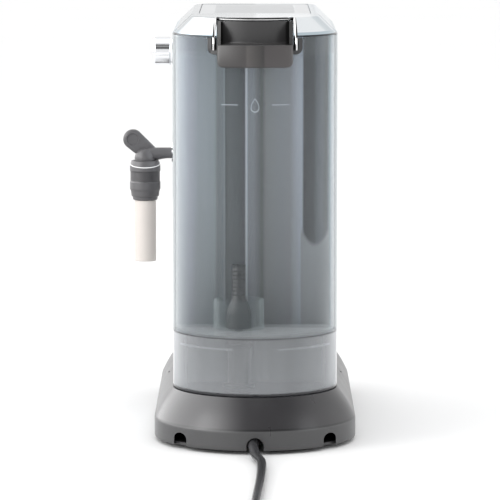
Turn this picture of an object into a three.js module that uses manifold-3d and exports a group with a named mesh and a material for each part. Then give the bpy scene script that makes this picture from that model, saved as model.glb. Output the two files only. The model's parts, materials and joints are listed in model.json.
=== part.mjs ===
// Slim domestic pump espresso machine with a clear rear water tank, a steam wand on its side,
// a filter holder, a drip tray and a power cord. Millimetres, +Z up, front towards -Y.
import * as THREE from 'three';
import { mergeVertices } from 'three/addons/utils/BufferGeometryUtils.js';
import Module from 'manifold-3d';

const wasm = await Module();
wasm.setup();

// ---------------------------------------------------------------- driving dimensions
const gap = 0.3; // clearance between pieces that touch or nearly touch
const wall = 2; // thickness of the body's shells

const bodyWidth = 120; // head, column and tank
const rearCentreY = 90; // centre of the half-round rear of the base, tank and lid
const headFrontY = -108;
const headCornerRadius = 30;
const headHeight = 114; // side walls of the head, which overhangs the cup bay
const columnFrontY = -20;
const columnCornerRadius = 10;
const bodyTopZ = 296; // top of the side walls
const topRise = 13.5; // height of the chamfered top above them
const topInset = 14; // how far the chamfer leans in
const trayRecess = 2; // depth of the cup tray's seat in the top

const footHeight = 3;
const footRadius = 8;
const baseRimHeight = 14; // upright band around the foot of the base
const baseTopZ = 39;
const baseFlare = 13.5; // how far the base spreads past the body
const baseFrontY = -151.5; // front of the base's top outline
const baseCornerRadius = 30;
const baseWall = 2.5;
const tongueHeight = 5.5; // plate that runs forward under the drip tray
const ventHalfWidth = 4; // arched notches in the rear rim
const cordNotchHalfWidth = 5.9;
const notchTopZ = 12.4;

const tankFrontY = 78;
const tankWall = 2.2;
const skirtHeight = 42.9; // from the tank's foot to the top of its floor
const handleHalfWidth = 26.8;
const handlePlateHeight = 16; // front plate below the finger pocket
const handleShelfDrop = 5; // floor of the finger pocket below the body's top
const notchMargin = 7.2; // how much wider than the handle the tank's notch is on each side
const notchDepth = 12.3;
const handleProud = 4; // how far its front plate stands off the tank
const pocketDepth = 16; // from the tank's rear wall to the back of the finger pocket
const handleWall = 2.5;
const liningWidth = 2.3; // dark strip around the tank's notch

const valveX = 11.8; // centre of the tank's outlet valve
const collarRadius = 18.3;
const collarHeight = 21;
const filterRadius = 5;
const filterHeight = 46.5; // above the tank's floor
const poppetStemRadius = 2.5;
const poppetTravelRoom = 4;

const groupClearance = 4.5; // between the group's ring and the column
const portafilterRadius = 30;
const portafilterWall = 3;
const groupRingWall = 3;
const lugRoom = 4; // between the filter holder's rim and the ring, for its lugs
const groupRingDepth = 18;
const groupNeckRadius = 26;
const holderDrop = 10; // rim of the filter holder below the head
const bowlDepth = 34;
const gripDrop = 20; // axis of the grip below the filter holder's rim
const gripLength = 106;
const spoutLength = 20; // below the filter holder's bowl

const sideControlsY = -72; // steam knob and wand
const knobDrop = 22.2; // axis below the body's top
const knobRadius = 11.2;
const knobReach = 18.5; // outer face beyond the body's side
const stemRadius = 3;
const armRise = 13.2; // axis above the head's underside
const armRadius = 4.35;
const wandReach = 25; // axis of the hanging frother beyond the body's side
const tabRadius = 7.5; // round finger tab on the elbow
const tabOffset = 9.4; // its centre beyond the frother's axis
const frotherRadius = 11.8;
const collarLength = 30.4;
const sleeveRadius = 8.35;
const sleeveWall = 1.1;
const sleeveLength = 47.3;

const buttonRadius = 8;
const buttonSpacing = 19;
const buttonDrop = 21; // below the body's top
const buttonTravel = 1.5;

const pumpY = 25;
const pumpRadius = 21;
const boilerHalfWidth = 33;
const boilerLength = 62;
const boilerHeight = 48;
const hoseRadius = 4;
const boardThickness = 1.6;

const cordRadius = 3.4;
const glandLength = 32;
const coilTurns = 3; // side by side on the floor, wound inwards
const coilInnerTurn = 27.4; // radius of the tightest turn
const coilPitch = 6.9;
const plugLength = 38;
const plugNose = 12; // strain relief part of that length
const plugHalf = 13;
const bladePitch = 12.6; // between the plug's two blades
const bladeLength = 16;
const restHeight = 0.1; // what lies on the floor starts this far above it

// ---------------------------------------------------------------- values worked out from them
const bodyHalf = bodyWidth / 2;
const topZ = bodyTopZ + topRise;
const headLowZ = bodyTopZ - headHeight;
const baseHalf = bodyHalf + baseFlare;
const baseRearY = rearCentreY + baseHalf;
const rearWallY = tankFrontY - 2; // rear face of the wall behind the tank
const tankHalf = bodyHalf - 0.25;
const tankLowZ = baseTopZ + 0.6;
const tankFloorTopZ = tankLowZ + skirtHeight;
const tankNotchHalfWidth = handleHalfWidth + notchMargin;
const tankNotchLowZ = bodyTopZ - notchDepth;
const handleShelfZ = bodyTopZ - handleShelfDrop;
const handleLowZ = handleShelfZ - handlePlateHeight;
const valveY = tankFrontY + tankWall + collarRadius + 1.5;
const filterTopZ = tankFloorTopZ + filterHeight;
const ringInner = portafilterRadius + 0.5 + lugRoom;
const ringOuter = ringInner + groupRingWall;
const groupY = columnFrontY - groupClearance - ringOuter; // axis of the brewing group
const portafilterTopZ = headLowZ - holderDrop;
const knobZ = bodyTopZ - knobDrop;
const armZ = headLowZ + armRise;
const buttonZ = bodyTopZ - buttonDrop;
const wandX = bodyHalf + wandReach;
const collarTopZ = armZ - 5.8;
const collarLowZ = collarTopZ - collarLength;
const handleTopZ = topZ - 1.5;

// ---------------------------------------------------------------- solids
// A closed geometry with its shared corners merged, no empty triangles and its faces outward.
function welded(geometry) {
  const plain = geometry.clone();
  for (const name of Object.keys(plain.attributes)) {
    if (name !== 'position') plain.deleteAttribute(name);
  }
  const merged = mergeVertices(plain, 1e-4);
  const position = merged.attributes.position;
  const index = [];
  const a = new THREE.Vector3();
  const b = new THREE.Vector3();
  const c = new THREE.Vector3();
  let volume = 0;
  for (let i = 0; i < merged.index.count; i += 3) {
    const corners = [0, 1, 2].map((k) => merged.index.getX(i + k));
    if (new Set(corners).size < 3) continue;
    a.fromBufferAttribute(position, corners[0]);
    b.fromBufferAttribute(position, corners[1]);
    c.fromBufferAttribute(position, corners[2]);
    volume += a.dot(b.cross(c)) / 6;
    index.push(...corners);
  }
  if (volume < 0) index.reverse();
  const closed = new THREE.BufferGeometry();
  closed.setAttribute('position', position);
  closed.setIndex(index);
  return closed;
}

function solid(geometry) {
  const closed = welded(geometry);
  return new wasm.Manifold(new wasm.Mesh({
    numProp: 3,
    vertProperties: new Float32Array(closed.attributes.position.array),
    triVerts: new Uint32Array(closed.index.array),
  }));
}

function geometryOf(manifold) {
  const mesh = manifold.getMesh();
  const geometry = new THREE.BufferGeometry();
  geometry.setAttribute('position', new THREE.BufferAttribute(mesh.vertProperties, 3));
  geometry.setIndex(new THREE.BufferAttribute(mesh.triVerts, 1));
  return geometry;
}

const join = (first, ...others) => others.reduce((sum, other) => sum.add(other), first);
const cut = (first, ...tools) => tools.reduce((rest, tool) => rest.subtract(tool), first);

function block(x0, x1, y0, y1, z0, z1) {
  const box = new THREE.BoxGeometry(x1 - x0, y1 - y0, z1 - z0);
  return solid(box.translate((x0 + x1) / 2, (y0 + y1) / 2, (z0 + z1) / 2));
}

// A round bar between two places on the X, Y or Z axis through (x, y, z).
function bar(axis, radius, from, to, x, y, z, sides = 16) {
  const cylinder = new THREE.CylinderGeometry(radius, radius, to - from, sides);
  if (axis === 'x') cylinder.rotateZ(-Math.PI / 2).translate((from + to) / 2, y, z);
  if (axis === 'y') cylinder.translate(x, (from + to) / 2, z);
  if (axis === 'z') cylinder.rotateX(Math.PI / 2).translate(x, y, (from + to) / 2);
  return solid(cylinder);
}

// A turned piece about a vertical axis. Its profile is a list of [radius, height].
function turned(profile, x, y, sides = 24) {
  const points = profile.map(([radius, height]) => new THREE.Vector2(radius, height));
  if (profile[0][0] > 0) points.push(points[0].clone());
  return solid(new THREE.LatheGeometry(points, sides).rotateX(Math.PI / 2).translate(x, y, 0));
}

const ring = (outer, inner, z0, z1, x, y, sides = 24) => (
  turned([[inner, z0], [outer, z0], [outer, z1], [inner, z1]], x, y, sides)
);

// A turned piece about a level axis: along X when sideways, else along Y.
function turnedLevel(profile, sideways, x, y, z, sides = 20) {
  const points = profile.map(([radius, along]) => new THREE.Vector2(radius, along));
  if (profile[0][0] > 0) points.push(points[0].clone());
  const lathe = new THREE.LatheGeometry(points, sides);
  if (sideways) lathe.rotateZ(-Math.PI / 2);
  return solid(lathe.translate(x, y, z));
}

function prism(shape, z0, z1, curveSegments = 10) {
  const options = { depth: z1 - z0, bevelEnabled: false, curveSegments };
  return solid(new THREE.ExtrudeGeometry(shape, options).translate(0, 0, z0));
}

function tube(points, radius, steps, sides) {
  const path = new THREE.CatmullRomCurve3(points.map((p) => new THREE.Vector3(...p)), false, 'centripetal');
  const section = new THREE.Shape();
  for (let i = 0; i < sides; i += 1) {
    const angle = (i / sides) * 2 * Math.PI;
    section[i ? 'lineTo' : 'moveTo'](radius * Math.cos(angle), radius * Math.sin(angle));
  }
  return solid(new THREE.ExtrudeGeometry(section, { steps, extrudePath: path, bevelEnabled: false }));
}

// Plan outline of the machine: round front corners and a half-round rear. A positive inset
// moves the whole outline inward, a negative one outward.
function plan(frontY, cornerRadius, inset = 0) {
  const half = bodyHalf - inset;
  const front = frontY + inset;
  const corner = Math.max(cornerRadius - inset, 0.5);
  const shape = new THREE.Shape();
  shape.moveTo(half, rearCentreY);
  shape.absarc(0, rearCentreY, half, 0, Math.PI / 2);
  shape.absarc(0, rearCentreY, half, Math.PI / 2, Math.PI);
  shape.absarc(-half + corner, front + corner, corner, Math.PI, 1.5 * Math.PI);
  shape.absarc(half - corner, front + corner, corner, 1.5 * Math.PI, 2 * Math.PI);
  shape.closePath();
  return shape;
}

// An upright outline from z0 to z1 whose top leans in by lean over the last stretch to z2.
function chamfered(frontY, cornerRadius, inset, lean, z0, z1, z2) {
  const shape = plan(frontY, cornerRadius, inset + lean);
  const rise = z2 - z1;
  const form = new THREE.ExtrudeGeometry(shape, {
    depth: z1 - z0, bevelThickness: rise, bevelSize: lean, bevelSegments: 1, curveSegments: 10,
  });
  return cut(solid(form.translate(0, 0, z0)), block(-300, 300, -300, 300, z0 - rise - 1, z0));
}

const baseForm = (inset, highZ) => chamfered(
  baseFrontY, baseCornerRadius, inset - baseFlare, baseFlare, footHeight, footHeight + baseRimHeight, highZ,
);

const topForm = (inset, z0, lower = 0) => chamfered(
  headFrontY, headCornerRadius, inset, topInset, z0, bodyTopZ - lower, topZ - lower,
);

const behind = (y) => block(-300, 300, y, 300, -50, 400);
const inFrontOf = (y) => block(-300, 300, -300, y, -50, 400);
const above = (z) => block(-300, 300, -300, 300, z, 500);
const below = (z) => block(-300, 300, -300, 300, -100, z);

// ---------------------------------------------------------------- machine and its nodes
const machine = new THREE.Group();

function add(name, piece, color, roughness, metalness = 0) {
  const material = new THREE.MeshStandardMaterial({ color, roughness, metalness });
  const mesh = new THREE.Mesh(geometryOf(piece), material);
  mesh.name = name;
  machine.add(mesh);
}

const darkPlastic = [0x47464a, 0.45];
const clearPlastic = [0xa3b0b6, 0.1];
const steel = [0xd5d7d9, 0.25, 0.9];
const rubber = [0x2b2b2c, 0.85];
const bodyMetal = [0xb9bec2, 0.3, 0.8];

// ---------------------------------------------------------------- base
const spigotTubeRadius = 5; // tube of the inlet spigot that hangs through the base's top
const rearHollowY = columnFrontY + 0.5; // front of the base's hollow rear part

// An arched notch through the rear rim at the given x.
function archNotch(x, halfWidth) {
  const shape = new THREE.Shape();
  const springZ = notchTopZ - halfWidth;
  shape.moveTo(-halfWidth, -5);
  shape.lineTo(halfWidth, -5);
  shape.absarc(0, springZ, halfWidth, 0, Math.PI);
  shape.closePath();
  const extrude = new THREE.ExtrudeGeometry(shape, { depth: 60, bevelEnabled: false, curveSegments: 8 });
  return solid(extrude.rotateX(Math.PI / 2).translate(x, baseRearY + 5, 0));
}

function baseHousing() {
  const form = baseForm(0, baseTopZ);
  const rear = form.intersect(behind(columnFrontY - 2));
  const tongue = form.intersect(below(footHeight + tongueHeight));
  const hollow = baseForm(baseWall, baseTopZ - baseWall).intersect(behind(rearHollowY));
  const mouthOutline = plan(baseFrontY, baseCornerRadius, baseWall - baseFlare);
  const hollowMouth = prism(mouthOutline, -1, footHeight + 1).intersect(behind(rearHollowY));
  const ventX = bodyHalf * 0.85;
  return cut(
    join(rear, tongue), hollow, hollowMouth,
    archNotch(0, cordNotchHalfWidth), archNotch(ventX, ventHalfWidth), archNotch(-ventX, ventHalfWidth),
    bar('z', hoseRadius + 1.5, baseTopZ - 10, baseTopZ + 5, 0, pumpY, 0),
    bar('z', spigotTubeRadius + gap, baseTopZ - 10, baseTopZ + 5, valveX, valveY, 0),
  );
}

function basePlate() {
  const outline = plan(baseFrontY, baseCornerRadius, baseWall + gap - baseFlare);
  const plate = prism(outline, footHeight, footHeight + 2).intersect(behind(rearHollowY + gap));
  const channel = block(-7, 7, baseRearY - 6 - glandLength, baseRearY, 0, 20);
  return cut(plate, channel);
}

function addBase() {
  add('base_housing', baseHousing(), ...darkPlastic);
  add('base_plate', basePlate(), ...darkPlastic);
  const rearFootY = rearCentreY + 15;
  const frontFootY = baseFrontY + 26;
  const feet = [['left', -1], ['right', 1]];
  for (const [side, sign] of feet) {
    const x = sign * (bodyHalf - 13);
    add(`foot_rear_${side}`, bar('z', footRadius, 0, footHeight, x, rearFootY, 0, 16), ...rubber);
    add(`foot_front_${side}`, bar('z', footRadius, 0, footHeight, x, frontFootY, 0, 16), ...rubber);
  }
}

// ---------------------------------------------------------------- drip tray
const trayFloorZ = footHeight + tongueHeight + gap;
const trayTopZ = baseTopZ - 2;
const trayBackY = columnFrontY - 2.4;
const gridTopZ = trayTopZ - 0.8;
const gridThickness = 2.5;
const floatX = bodyHalf - 22;
const floatY = trayBackY - 22;

function dripTray() {
  const body = baseForm(0, baseTopZ).intersect(inFrontOf(trayBackY))
    .intersect(block(-300, 300, -300, 300, trayFloorZ, trayTopZ));
  const hollow = baseForm(baseWall, baseTopZ).intersect(inFrontOf(trayBackY - baseWall))
    .intersect(above(trayFloorZ + baseWall));
  const posts = [];
  for (const x of [-1, 1]) {
    for (const y of [trayBackY - 8, baseFrontY + 14]) {
      posts.push(bar('z', 4, trayFloorZ + 1, gridTopZ - gridThickness, x * (bodyHalf - 14), y, 0, 12));
    }
  }
  return join(cut(body, hollow), ...posts);
}

function dripGrid() {
  const outline = plan(baseFrontY, baseCornerRadius, baseWall + gap);
  const plate = prism(outline, gridTopZ - gridThickness, gridTopZ)
    .intersect(inFrontOf(trayBackY - baseWall - gap));
  const slots = [];
  for (let y = baseFrontY + 22; y < trayBackY - 40; y += 12) {
    slots.push(block(-bodyHalf + 16, bodyHalf - 16, y, y + 5, 0, 60));
  }
  return cut(plate, bar('z', 6.5, 20, 60, floatX, floatY, 0), ...slots);
}

function trayFloat() {
  const disc = bar('z', 9, trayFloorZ + baseWall + gap, trayFloorZ + baseWall + 4, floatX, floatY, 0);
  return join(disc, bar('z', 5.8, trayFloorZ + baseWall + 3, gridTopZ, floatX, floatY, 0));
}

function addDripTray() {
  add('drip_tray', dripTray(), ...darkPlastic);
  add('drip_grid', dripGrid(), ...steel);
  add('tray_float', trayFloat(), 0xb03a2e, 0.5);
}

// ---------------------------------------------------------------- column and head
const rearWallThickness = 3;
const seatMargin = 5; // flat rim of the top around the cup tray's seat
const seatHalf = bodyHalf - topInset - seatMargin;
const seatFrontY = headFrontY + topInset + seatMargin;
const seatRearY = tankFrontY - 2 * seatMargin;

function shellWall(frontY, corner, z0, z1) {
  const outer = prism(plan(frontY, corner), z0, z1);
  const inner = prism(plan(frontY, corner, wall), z0 - 1, z1 + 1);
  return cut(outer, inner, behind(rearWallY));
}

const buttonXs = [-buttonSpacing, 0, buttonSpacing];

function headShell() {
  const holes = buttonXs.map((x) => (
    bar('y', buttonRadius + gap, headFrontY - 5, headFrontY + 10, x, 0, buttonZ)
  ));
  return cut(
    shellWall(headFrontY, headCornerRadius, headLowZ, bodyTopZ), ...holes,
    bar('x', stemRadius + 0.4, bodyHalf - 10, bodyHalf + 10, 0, sideControlsY, knobZ),
    bar('x', armRadius + 0.35, bodyHalf - 10, bodyHalf + 10, 0, sideControlsY, armZ),
  );
}

function headFloor() {
  const outline = plan(headFrontY, headCornerRadius, wall + gap);
  const plate = prism(outline, headLowZ, headLowZ + 2.5).intersect(inFrontOf(columnFrontY + wall));
  return cut(plate, bar('z', groupNeckRadius + gap, headLowZ - 5, headLowZ + 5, 0, groupY, 0, 28));
}

function rearWall() {
  const half = bodyHalf - wall - gap;
  const z0 = baseTopZ + gap;
  const z1 = bodyTopZ - gap;
  const plate = block(-half, half, rearWallY - rearWallThickness, rearWallY, z0, z1);
  const ribs = [-0.62, -0.2, 0.24, 0.5].map((share) => (
    block(share * half - 2, share * half + 2, rearWallY - 1, rearWallY + 1, z0 + 45, z1 - 12)
  ));
  return join(plate, ...ribs);
}

function topFrame() {
  const front = inFrontOf(tankFrontY - gap);
  const skin = topForm(0, bodyTopZ - 20).intersect(front).intersect(above(bodyTopZ + gap));
  const hollow = topForm(wall, bodyTopZ - 20, 5.5).intersect(inFrontOf(tankFrontY - gap - wall));
  const seat = block(-seatHalf, seatHalf, seatFrontY, seatRearY, topZ - trayRecess, topZ + 5);
  return cut(skin, hollow, seat);
}

function cupTray() {
  const half = seatHalf - gap;
  const y0 = seatFrontY + gap;
  const y1 = seatRearY - gap;
  const z0 = topZ - trayRecess + 0.1;
  const plate = block(-half, half, y0, y1, z0, topZ - 0.2);
  const slots = [];
  for (let y = y0 + 20; y < y1 - 20; y += 16) {
    slots.push(block(-half + 10, half - 10, y, y + 4, z0 - 5, topZ + 5));
  }
  return cut(plate, ...slots);
}

function addBody() {
  const column = shellWall(columnFrontY, columnCornerRadius, baseTopZ + gap, headLowZ - gap);
  add('column_shell', column, ...bodyMetal);
  add('head_shell', headShell(), ...bodyMetal);
  add('head_floor', headFloor(), ...darkPlastic);
  add('rear_wall', rearWall(), ...bodyMetal);
  add('top_frame', topFrame(), ...bodyMetal);
  add('cup_tray', cupTray(), ...steel);
}

// ---------------------------------------------------------------- water tank
function tankOutline(inset) {
  const half = tankHalf - inset;
  const front = tankFrontY + inset;
  const corner = 4 - Math.min(inset, 3);
  const shape = new THREE.Shape();
  shape.moveTo(half, rearCentreY);
  shape.absarc(0, rearCentreY, half, 0, Math.PI / 2);
  shape.absarc(0, rearCentreY, half, Math.PI / 2, Math.PI);
  shape.absarc(-half + corner, front + corner, corner, Math.PI, 1.5 * Math.PI);
  shape.absarc(half - corner, front + corner, corner, 1.5 * Math.PI, 2 * Math.PI);
  shape.closePath();
  return shape;
}

function waterTank() {
  const outer = prism(tankOutline(0), tankLowZ, bodyTopZ);
  const room = prism(tankOutline(tankWall), tankFloorTopZ, bodyTopZ + 5);
  const skirtRoom = prism(tankOutline(tankWall), tankLowZ - 5, tankFloorTopZ - tankWall);
  const notch = block(
    -tankNotchHalfWidth, tankNotchHalfWidth, rearCentreY + 20, rearCentreY + tankHalf + 5,
    tankNotchLowZ, bodyTopZ + 5,
  );
  const outlet = bar('z', poppetStemRadius + 0.5, tankLowZ, tankFloorTopZ + 5, valveX, valveY, 0, 16);
  return cut(outer, room, skirtRoom, notch, outlet);
}

// The part of a ring around the tank's rear that lies within halfWidth of the middle.
function rearSector(outer, inner, halfWidth, z0, z1) {
  const whole = ring(outer, inner, z0, z1, 0, rearCentreY, 60);
  return whole.intersect(block(-halfWidth, halfWidth, rearCentreY, 300, z0 - 1, z1 + 1));
}

function tankHandle() {
  const outer = tankHalf + gap + handleProud;
  const seat = tankHalf + gap;
  const back = tankHalf - pocketDepth;
  const front = rearSector(outer, seat, handleHalfWidth, handleLowZ, handleShelfZ);
  const shelf = rearSector(seat + 0.5, back, handleHalfWidth, handleShelfZ - handleWall, handleShelfZ);
  const bowl = rearSector(tankHalf, back, handleHalfWidth, handleShelfZ - handleWall, handleTopZ);
  const pocket = rearSector(
    tankHalf + 20, back + handleWall, handleHalfWidth - handleWall, handleShelfZ, handleTopZ + 5,
  );
  const shapedBowl = cut(bowl, pocket).intersect(topForm(1, bodyTopZ - 20));
  const stripHalf = tankNotchHalfWidth - gap;
  const stripLowZ = tankNotchLowZ + gap;
  const strip = rearSector(seat + 1, tankHalf - tankWall, stripHalf, stripLowZ, bodyTopZ - gap);
  const openHalf = stripHalf - liningWidth;
  const opening = block(-openHalf, openHalf, rearCentreY, 300, stripLowZ + liningWidth, bodyTopZ + 5);
  return join(front, shelf, shapedBowl, cut(strip, opening));
}

const lidLowZ = bodyTopZ + gap;
const lidFrontY = tankFrontY + 0.4;
const trimWidth = 2.2;

function tankLid() {
  const skin = topForm(0.25, bodyTopZ - 20).intersect(behind(lidFrontY)).intersect(above(lidLowZ));
  const hollow = topForm(2.25, bodyTopZ - 30, 2).intersect(behind(lidFrontY + 2));
  const mouth = handleHalfWidth + gap + trimWidth + gap;
  const slot = cut(
    block(-mouth, mouth, rearCentreY, 300, lidLowZ - 5, topZ + 5),
    ring(tankHalf - pocketDepth - trimWidth - gap, 1, lidLowZ - 10, topZ + 10, 0, rearCentreY, 60),
    bar('z', 2, lidLowZ - 10, topZ + 10, 0, rearCentreY, 0),
  );
  return cut(skin, hollow, slot);
}

// Polished arch around the finger pocket: two upright legs and a bar across the top.
function handleTrim() {
  const outerHalf = handleHalfWidth + gap + trimWidth;
  const innerHalf = handleHalfWidth + gap;
  const back = tankHalf - pocketDepth;
  const whole = cut(
    block(-outerHalf, outerHalf, rearCentreY, 300, tankNotchLowZ + 3.3, topZ + 0.6),
    ring(back - trimWidth, 1, -10, 400, 0, rearCentreY, 60),
    bar('z', 2, -10, 400, 0, rearCentreY, 0),
  );
  const legRoom = block(-innerHalf, innerHalf, rearCentreY, 300, 0, handleTopZ + 0.5);
  const overRoom = rearSector(tankHalf + 30, back, innerHalf, 0, topZ + 5);
  const reach = topForm(-0.6, bodyTopZ - 40);
  return cut(whole, legRoom, overRoom).intersect(reach).intersect(below(topZ + 0.5));
}

function addTank() {
  add('water_tank', waterTank(), ...clearPlastic);
  add('tank_handle', tankHandle(), ...darkPlastic);
  add('tank_lid', tankLid(), ...steel);
  add('handle_trim', handleTrim(), ...steel);
  const floorZ = tankFloorTopZ + gap;
  const collar = ring(collarRadius, collarRadius - wall, floorZ, floorZ + collarHeight, valveX, valveY);
  add('valve_collar', collar, ...clearPlastic);
  const stemInner = poppetStemRadius + 4.5;
  add('suction_filter', turned([
    [stemInner, floorZ], [stemInner + 2, floorZ], [stemInner + 2, floorZ + 12], [filterRadius, floorZ + 20],
    [filterRadius, filterTopZ], [0, filterTopZ], [0, filterTopZ - 4], [filterRadius - 1.5, filterTopZ - 4],
    [filterRadius - 1.5, floorZ + 18], [stemInner, floorZ + 11],
  ], valveX, valveY, 20), ...darkPlastic);
  add('valve_poppet', turned([
    [0, tankFloorTopZ - 5], [poppetStemRadius, tankFloorTopZ - 5], [poppetStemRadius, floorZ],
    [poppetStemRadius + 3, floorZ], [poppetStemRadius + 3, floorZ + 2], [0, floorZ + 2],
  ], valveX, valveY, 16), ...rubber);
}

// ---------------------------------------------------------------- brewing group
function addGroup() {
  const ringLowZ = headLowZ - gap - groupRingDepth;
  const roofZ = headLowZ - gap - 6;
  add('group_head', turned([
    [0, roofZ], [ringInner, roofZ], [ringInner, ringLowZ], [ringOuter, ringLowZ],
    [ringOuter, headLowZ - gap], [groupNeckRadius, headLowZ - gap],
    [groupNeckRadius, headLowZ + 14], [0, headLowZ + 14],
  ], 0, groupY), ...steel);
  const sealOuter = portafilterRadius - 0.5;
  const sealInner = sealOuter - 5;
  add('group_gasket', ring(sealOuter, sealInner, portafilterTopZ + 0.9, roofZ - gap, 0, groupY), ...rubber);
  const screenRadius = sealInner - 2 * gap;
  add('shower_screen', ring(screenRadius, 2.5, roofZ - 2.3, roofZ - gap, 0, groupY), ...steel);
  add('shower_screw', turned([
    [0, roofZ - 5], [5, roofZ - 5], [5, roofZ - 2.6], [2.2, roofZ - 2.6],
    [2.2, roofZ - gap], [0, roofZ - gap],
  ], 0, groupY, 12), ...steel);
}

// ---------------------------------------------------------------- filter holder
const bowlLowZ = portafilterTopZ - bowlDepth;
const spoutLowZ = bowlLowZ - spoutLength;
const gripZ = portafilterTopZ - gripDrop;
const bossFrontY = groupY - portafilterRadius - 7;
const lugReach = 3;

function portafilterBody() {
  const r = portafilterRadius;
  const bowl = turned([
    [4, bowlLowZ], [r - 10, bowlLowZ], [r, bowlLowZ + 9],
    [r, portafilterTopZ], [r - portafilterWall, portafilterTopZ],
    [r - portafilterWall, bowlLowZ + 13], [r - 12, bowlLowZ + 5], [4, bowlLowZ + 5],
  ], 0, groupY);
  const lug = (sign) => block(
    Math.min(sign * (r - 1), sign * (r + lugReach)), Math.max(sign * (r - 1), sign * (r + lugReach)),
    groupY - 7, groupY + 7, portafilterTopZ - 5, portafilterTopZ - 1,
  );
  const boss = cut(
    bar('y', 8, bossFrontY, groupY - r + 4, 0, 0, gripZ),
    bar('z', r - portafilterWall + 1, bowlLowZ - 10, portafilterTopZ + 10, 0, groupY, 0, 32),
  );
  return join(bowl, lug(1), lug(-1), boss);
}

function spouts() {
  const hub = bar('z', 10, spoutLowZ + 12, bowlLowZ - gap, 0, groupY, 0);
  const arms = block(-16, 16, groupY - 5, groupY + 5, spoutLowZ + 7, spoutLowZ + 15);
  const nozzle = (x) => bar('z', 4.5, spoutLowZ, spoutLowZ + 10, x, groupY, 0, 16);
  return join(hub, arms, nozzle(-11), nozzle(11));
}

function addPortafilter() {
  add('portafilter_body', portafilterBody(), ...steel);
  const r = portafilterRadius - portafilterWall - 0.5;
  const low = bowlLowZ + 14;
  const rim = portafilterTopZ + 0.2;
  add('filter_basket', turned([
    [0, low], [r - 1, low], [r, low + 2], [r, rim], [portafilterRadius - 0.3, rim],
    [portafilterRadius - 0.3, rim + 0.6], [r - 0.9, rim + 0.6], [r - 0.9, low + 1], [0, low + 1],
  ], 0, groupY), ...steel);
  add('portafilter_spout', spouts(), ...darkPlastic);
  add('portafilter_grip', turnedLevel([
    [0, -gripLength], [7, -gripLength], [11, -gripLength + 5], [12.5, -gripLength + 30],
    [10, -30], [9.5, 0], [0, 0],
  ], false, 0, bossFrontY - gap, gripZ), ...darkPlastic);
}

// ---------------------------------------------------------------- steam knob and wand
function wandElbow() {
  const arm = bar('x', armRadius, bodyHalf - 3.5, wandX, 0, sideControlsY, armZ, 16);
  const hub = turned([
    [0, collarTopZ + gap], [7, collarTopZ + gap], [7, armZ + 2], [4.5, armZ + 5], [0, armZ + 6],
  ], wandX, sideControlsY, 20);
  const tabX = wandX + tabOffset;
  const tabZ = armZ + 10.5;
  const tab = bar('y', tabRadius, sideControlsY - 3.5, sideControlsY + 3.5, tabX, 0, tabZ, 24);
  const neck = new THREE.BoxGeometry(16, 6, 7).rotateY(-Math.PI / 4)
    .translate(wandX + 4, sideControlsY, armZ + 5);
  const dimple = bar('y', 4.6, sideControlsY + 2.7, sideControlsY + 10, tabX, 0, tabZ, 20);
  return cut(join(arm, hub, solid(neck), tab), dimple);
}

function frotherCollar() {
  const spigot = sleeveRadius - sleeveWall - 0.25;
  const bore = stemRadius + 0.3;
  const z = collarLowZ;
  const r = frotherRadius;
  return turned([
    [bore, z - 9], [spigot, z - 9], [spigot, z], [r - 2.4, z], [r - 1.4, z + 6], [r, z + 9],
    [r, z + 14], [r - 0.5, z + 14.6], [r - 0.5, z + 22], [r, z + 22.6], [r, z + 28], [r - 1.6, collarTopZ],
    [bore, collarTopZ],
  ], wandX, sideControlsY, 20);
}

function addSteam() {
  const face = bodyHalf + knobReach;
  add('steam_knob', turnedLevel([
    [stemRadius + 0.3, -knobReach + 2], [knobRadius, -knobReach + 2], [knobRadius, -1], [knobRadius - 1, 0],
    [0, 0], [0, -6], [stemRadius + 0.3, -6],
  ], true, face, sideControlsY, knobZ), ...steel);
  const stem = bar('x', stemRadius, bodyHalf - 18, face - 6 - gap, 0, sideControlsY, knobZ, 16);
  add('steam_stem', stem, ...steel);
  add('steam_valve', cut(
    bar('x', 9, bodyHalf - 28, bodyHalf - wall - gap, 0, sideControlsY, knobZ),
    bar('x', stemRadius + 0.3, bodyHalf - 18.3, bodyHalf, 0, sideControlsY, knobZ),
  ), 0xb8923f, 0.35, 0.9);
  add('wand_bush', turnedLevel([
    [armRadius + 0.3, gap], [9, gap], [9, 3], [7.5, 4.3], [armRadius + 0.3, 4.3],
  ], true, bodyHalf, sideControlsY, armZ), ...steel);
  add('wand_elbow', wandElbow(), ...darkPlastic);
  const nozzle = ring(stemRadius, 1.2, collarLowZ - 40, collarTopZ, wandX, sideControlsY, 16);
  add('steam_nozzle', nozzle, ...steel);
  add('frother_collar', frotherCollar(), ...darkPlastic);
  const sleeveTop = collarLowZ - gap;
  add('frother_sleeve', ring(
    sleeveRadius, sleeveRadius - sleeveWall, sleeveTop - sleeveLength, sleeveTop, wandX, sideControlsY, 32,
  ), 0xf1ece7, 0.12, 0.9);
}

// ---------------------------------------------------------------- buttons
function addButtons() {
  const names = ['button_one_cup', 'button_steam', 'button_two_cups'];
  buttonXs.forEach((x, i) => {
    const button = bar('y', buttonRadius, headFrontY - 1.8, headFrontY + 8, x, 0, buttonZ, 24);
    add(names[i], button, ...steel);
  });
  const boardY = headFrontY + 8 + buttonTravel + 0.5;
  const reach = buttonSpacing + buttonRadius;
  const board = block(-reach, reach, boardY, boardY + boardThickness, buttonZ - 12, buttonZ + 12);
  add('switch_board', board, 0x2f6b46, 0.6);
}

// ---------------------------------------------------------------- water path inside
const boilerLowZ = headLowZ + 14 + gap;
const pumpLowZ = baseTopZ + 20;

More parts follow.
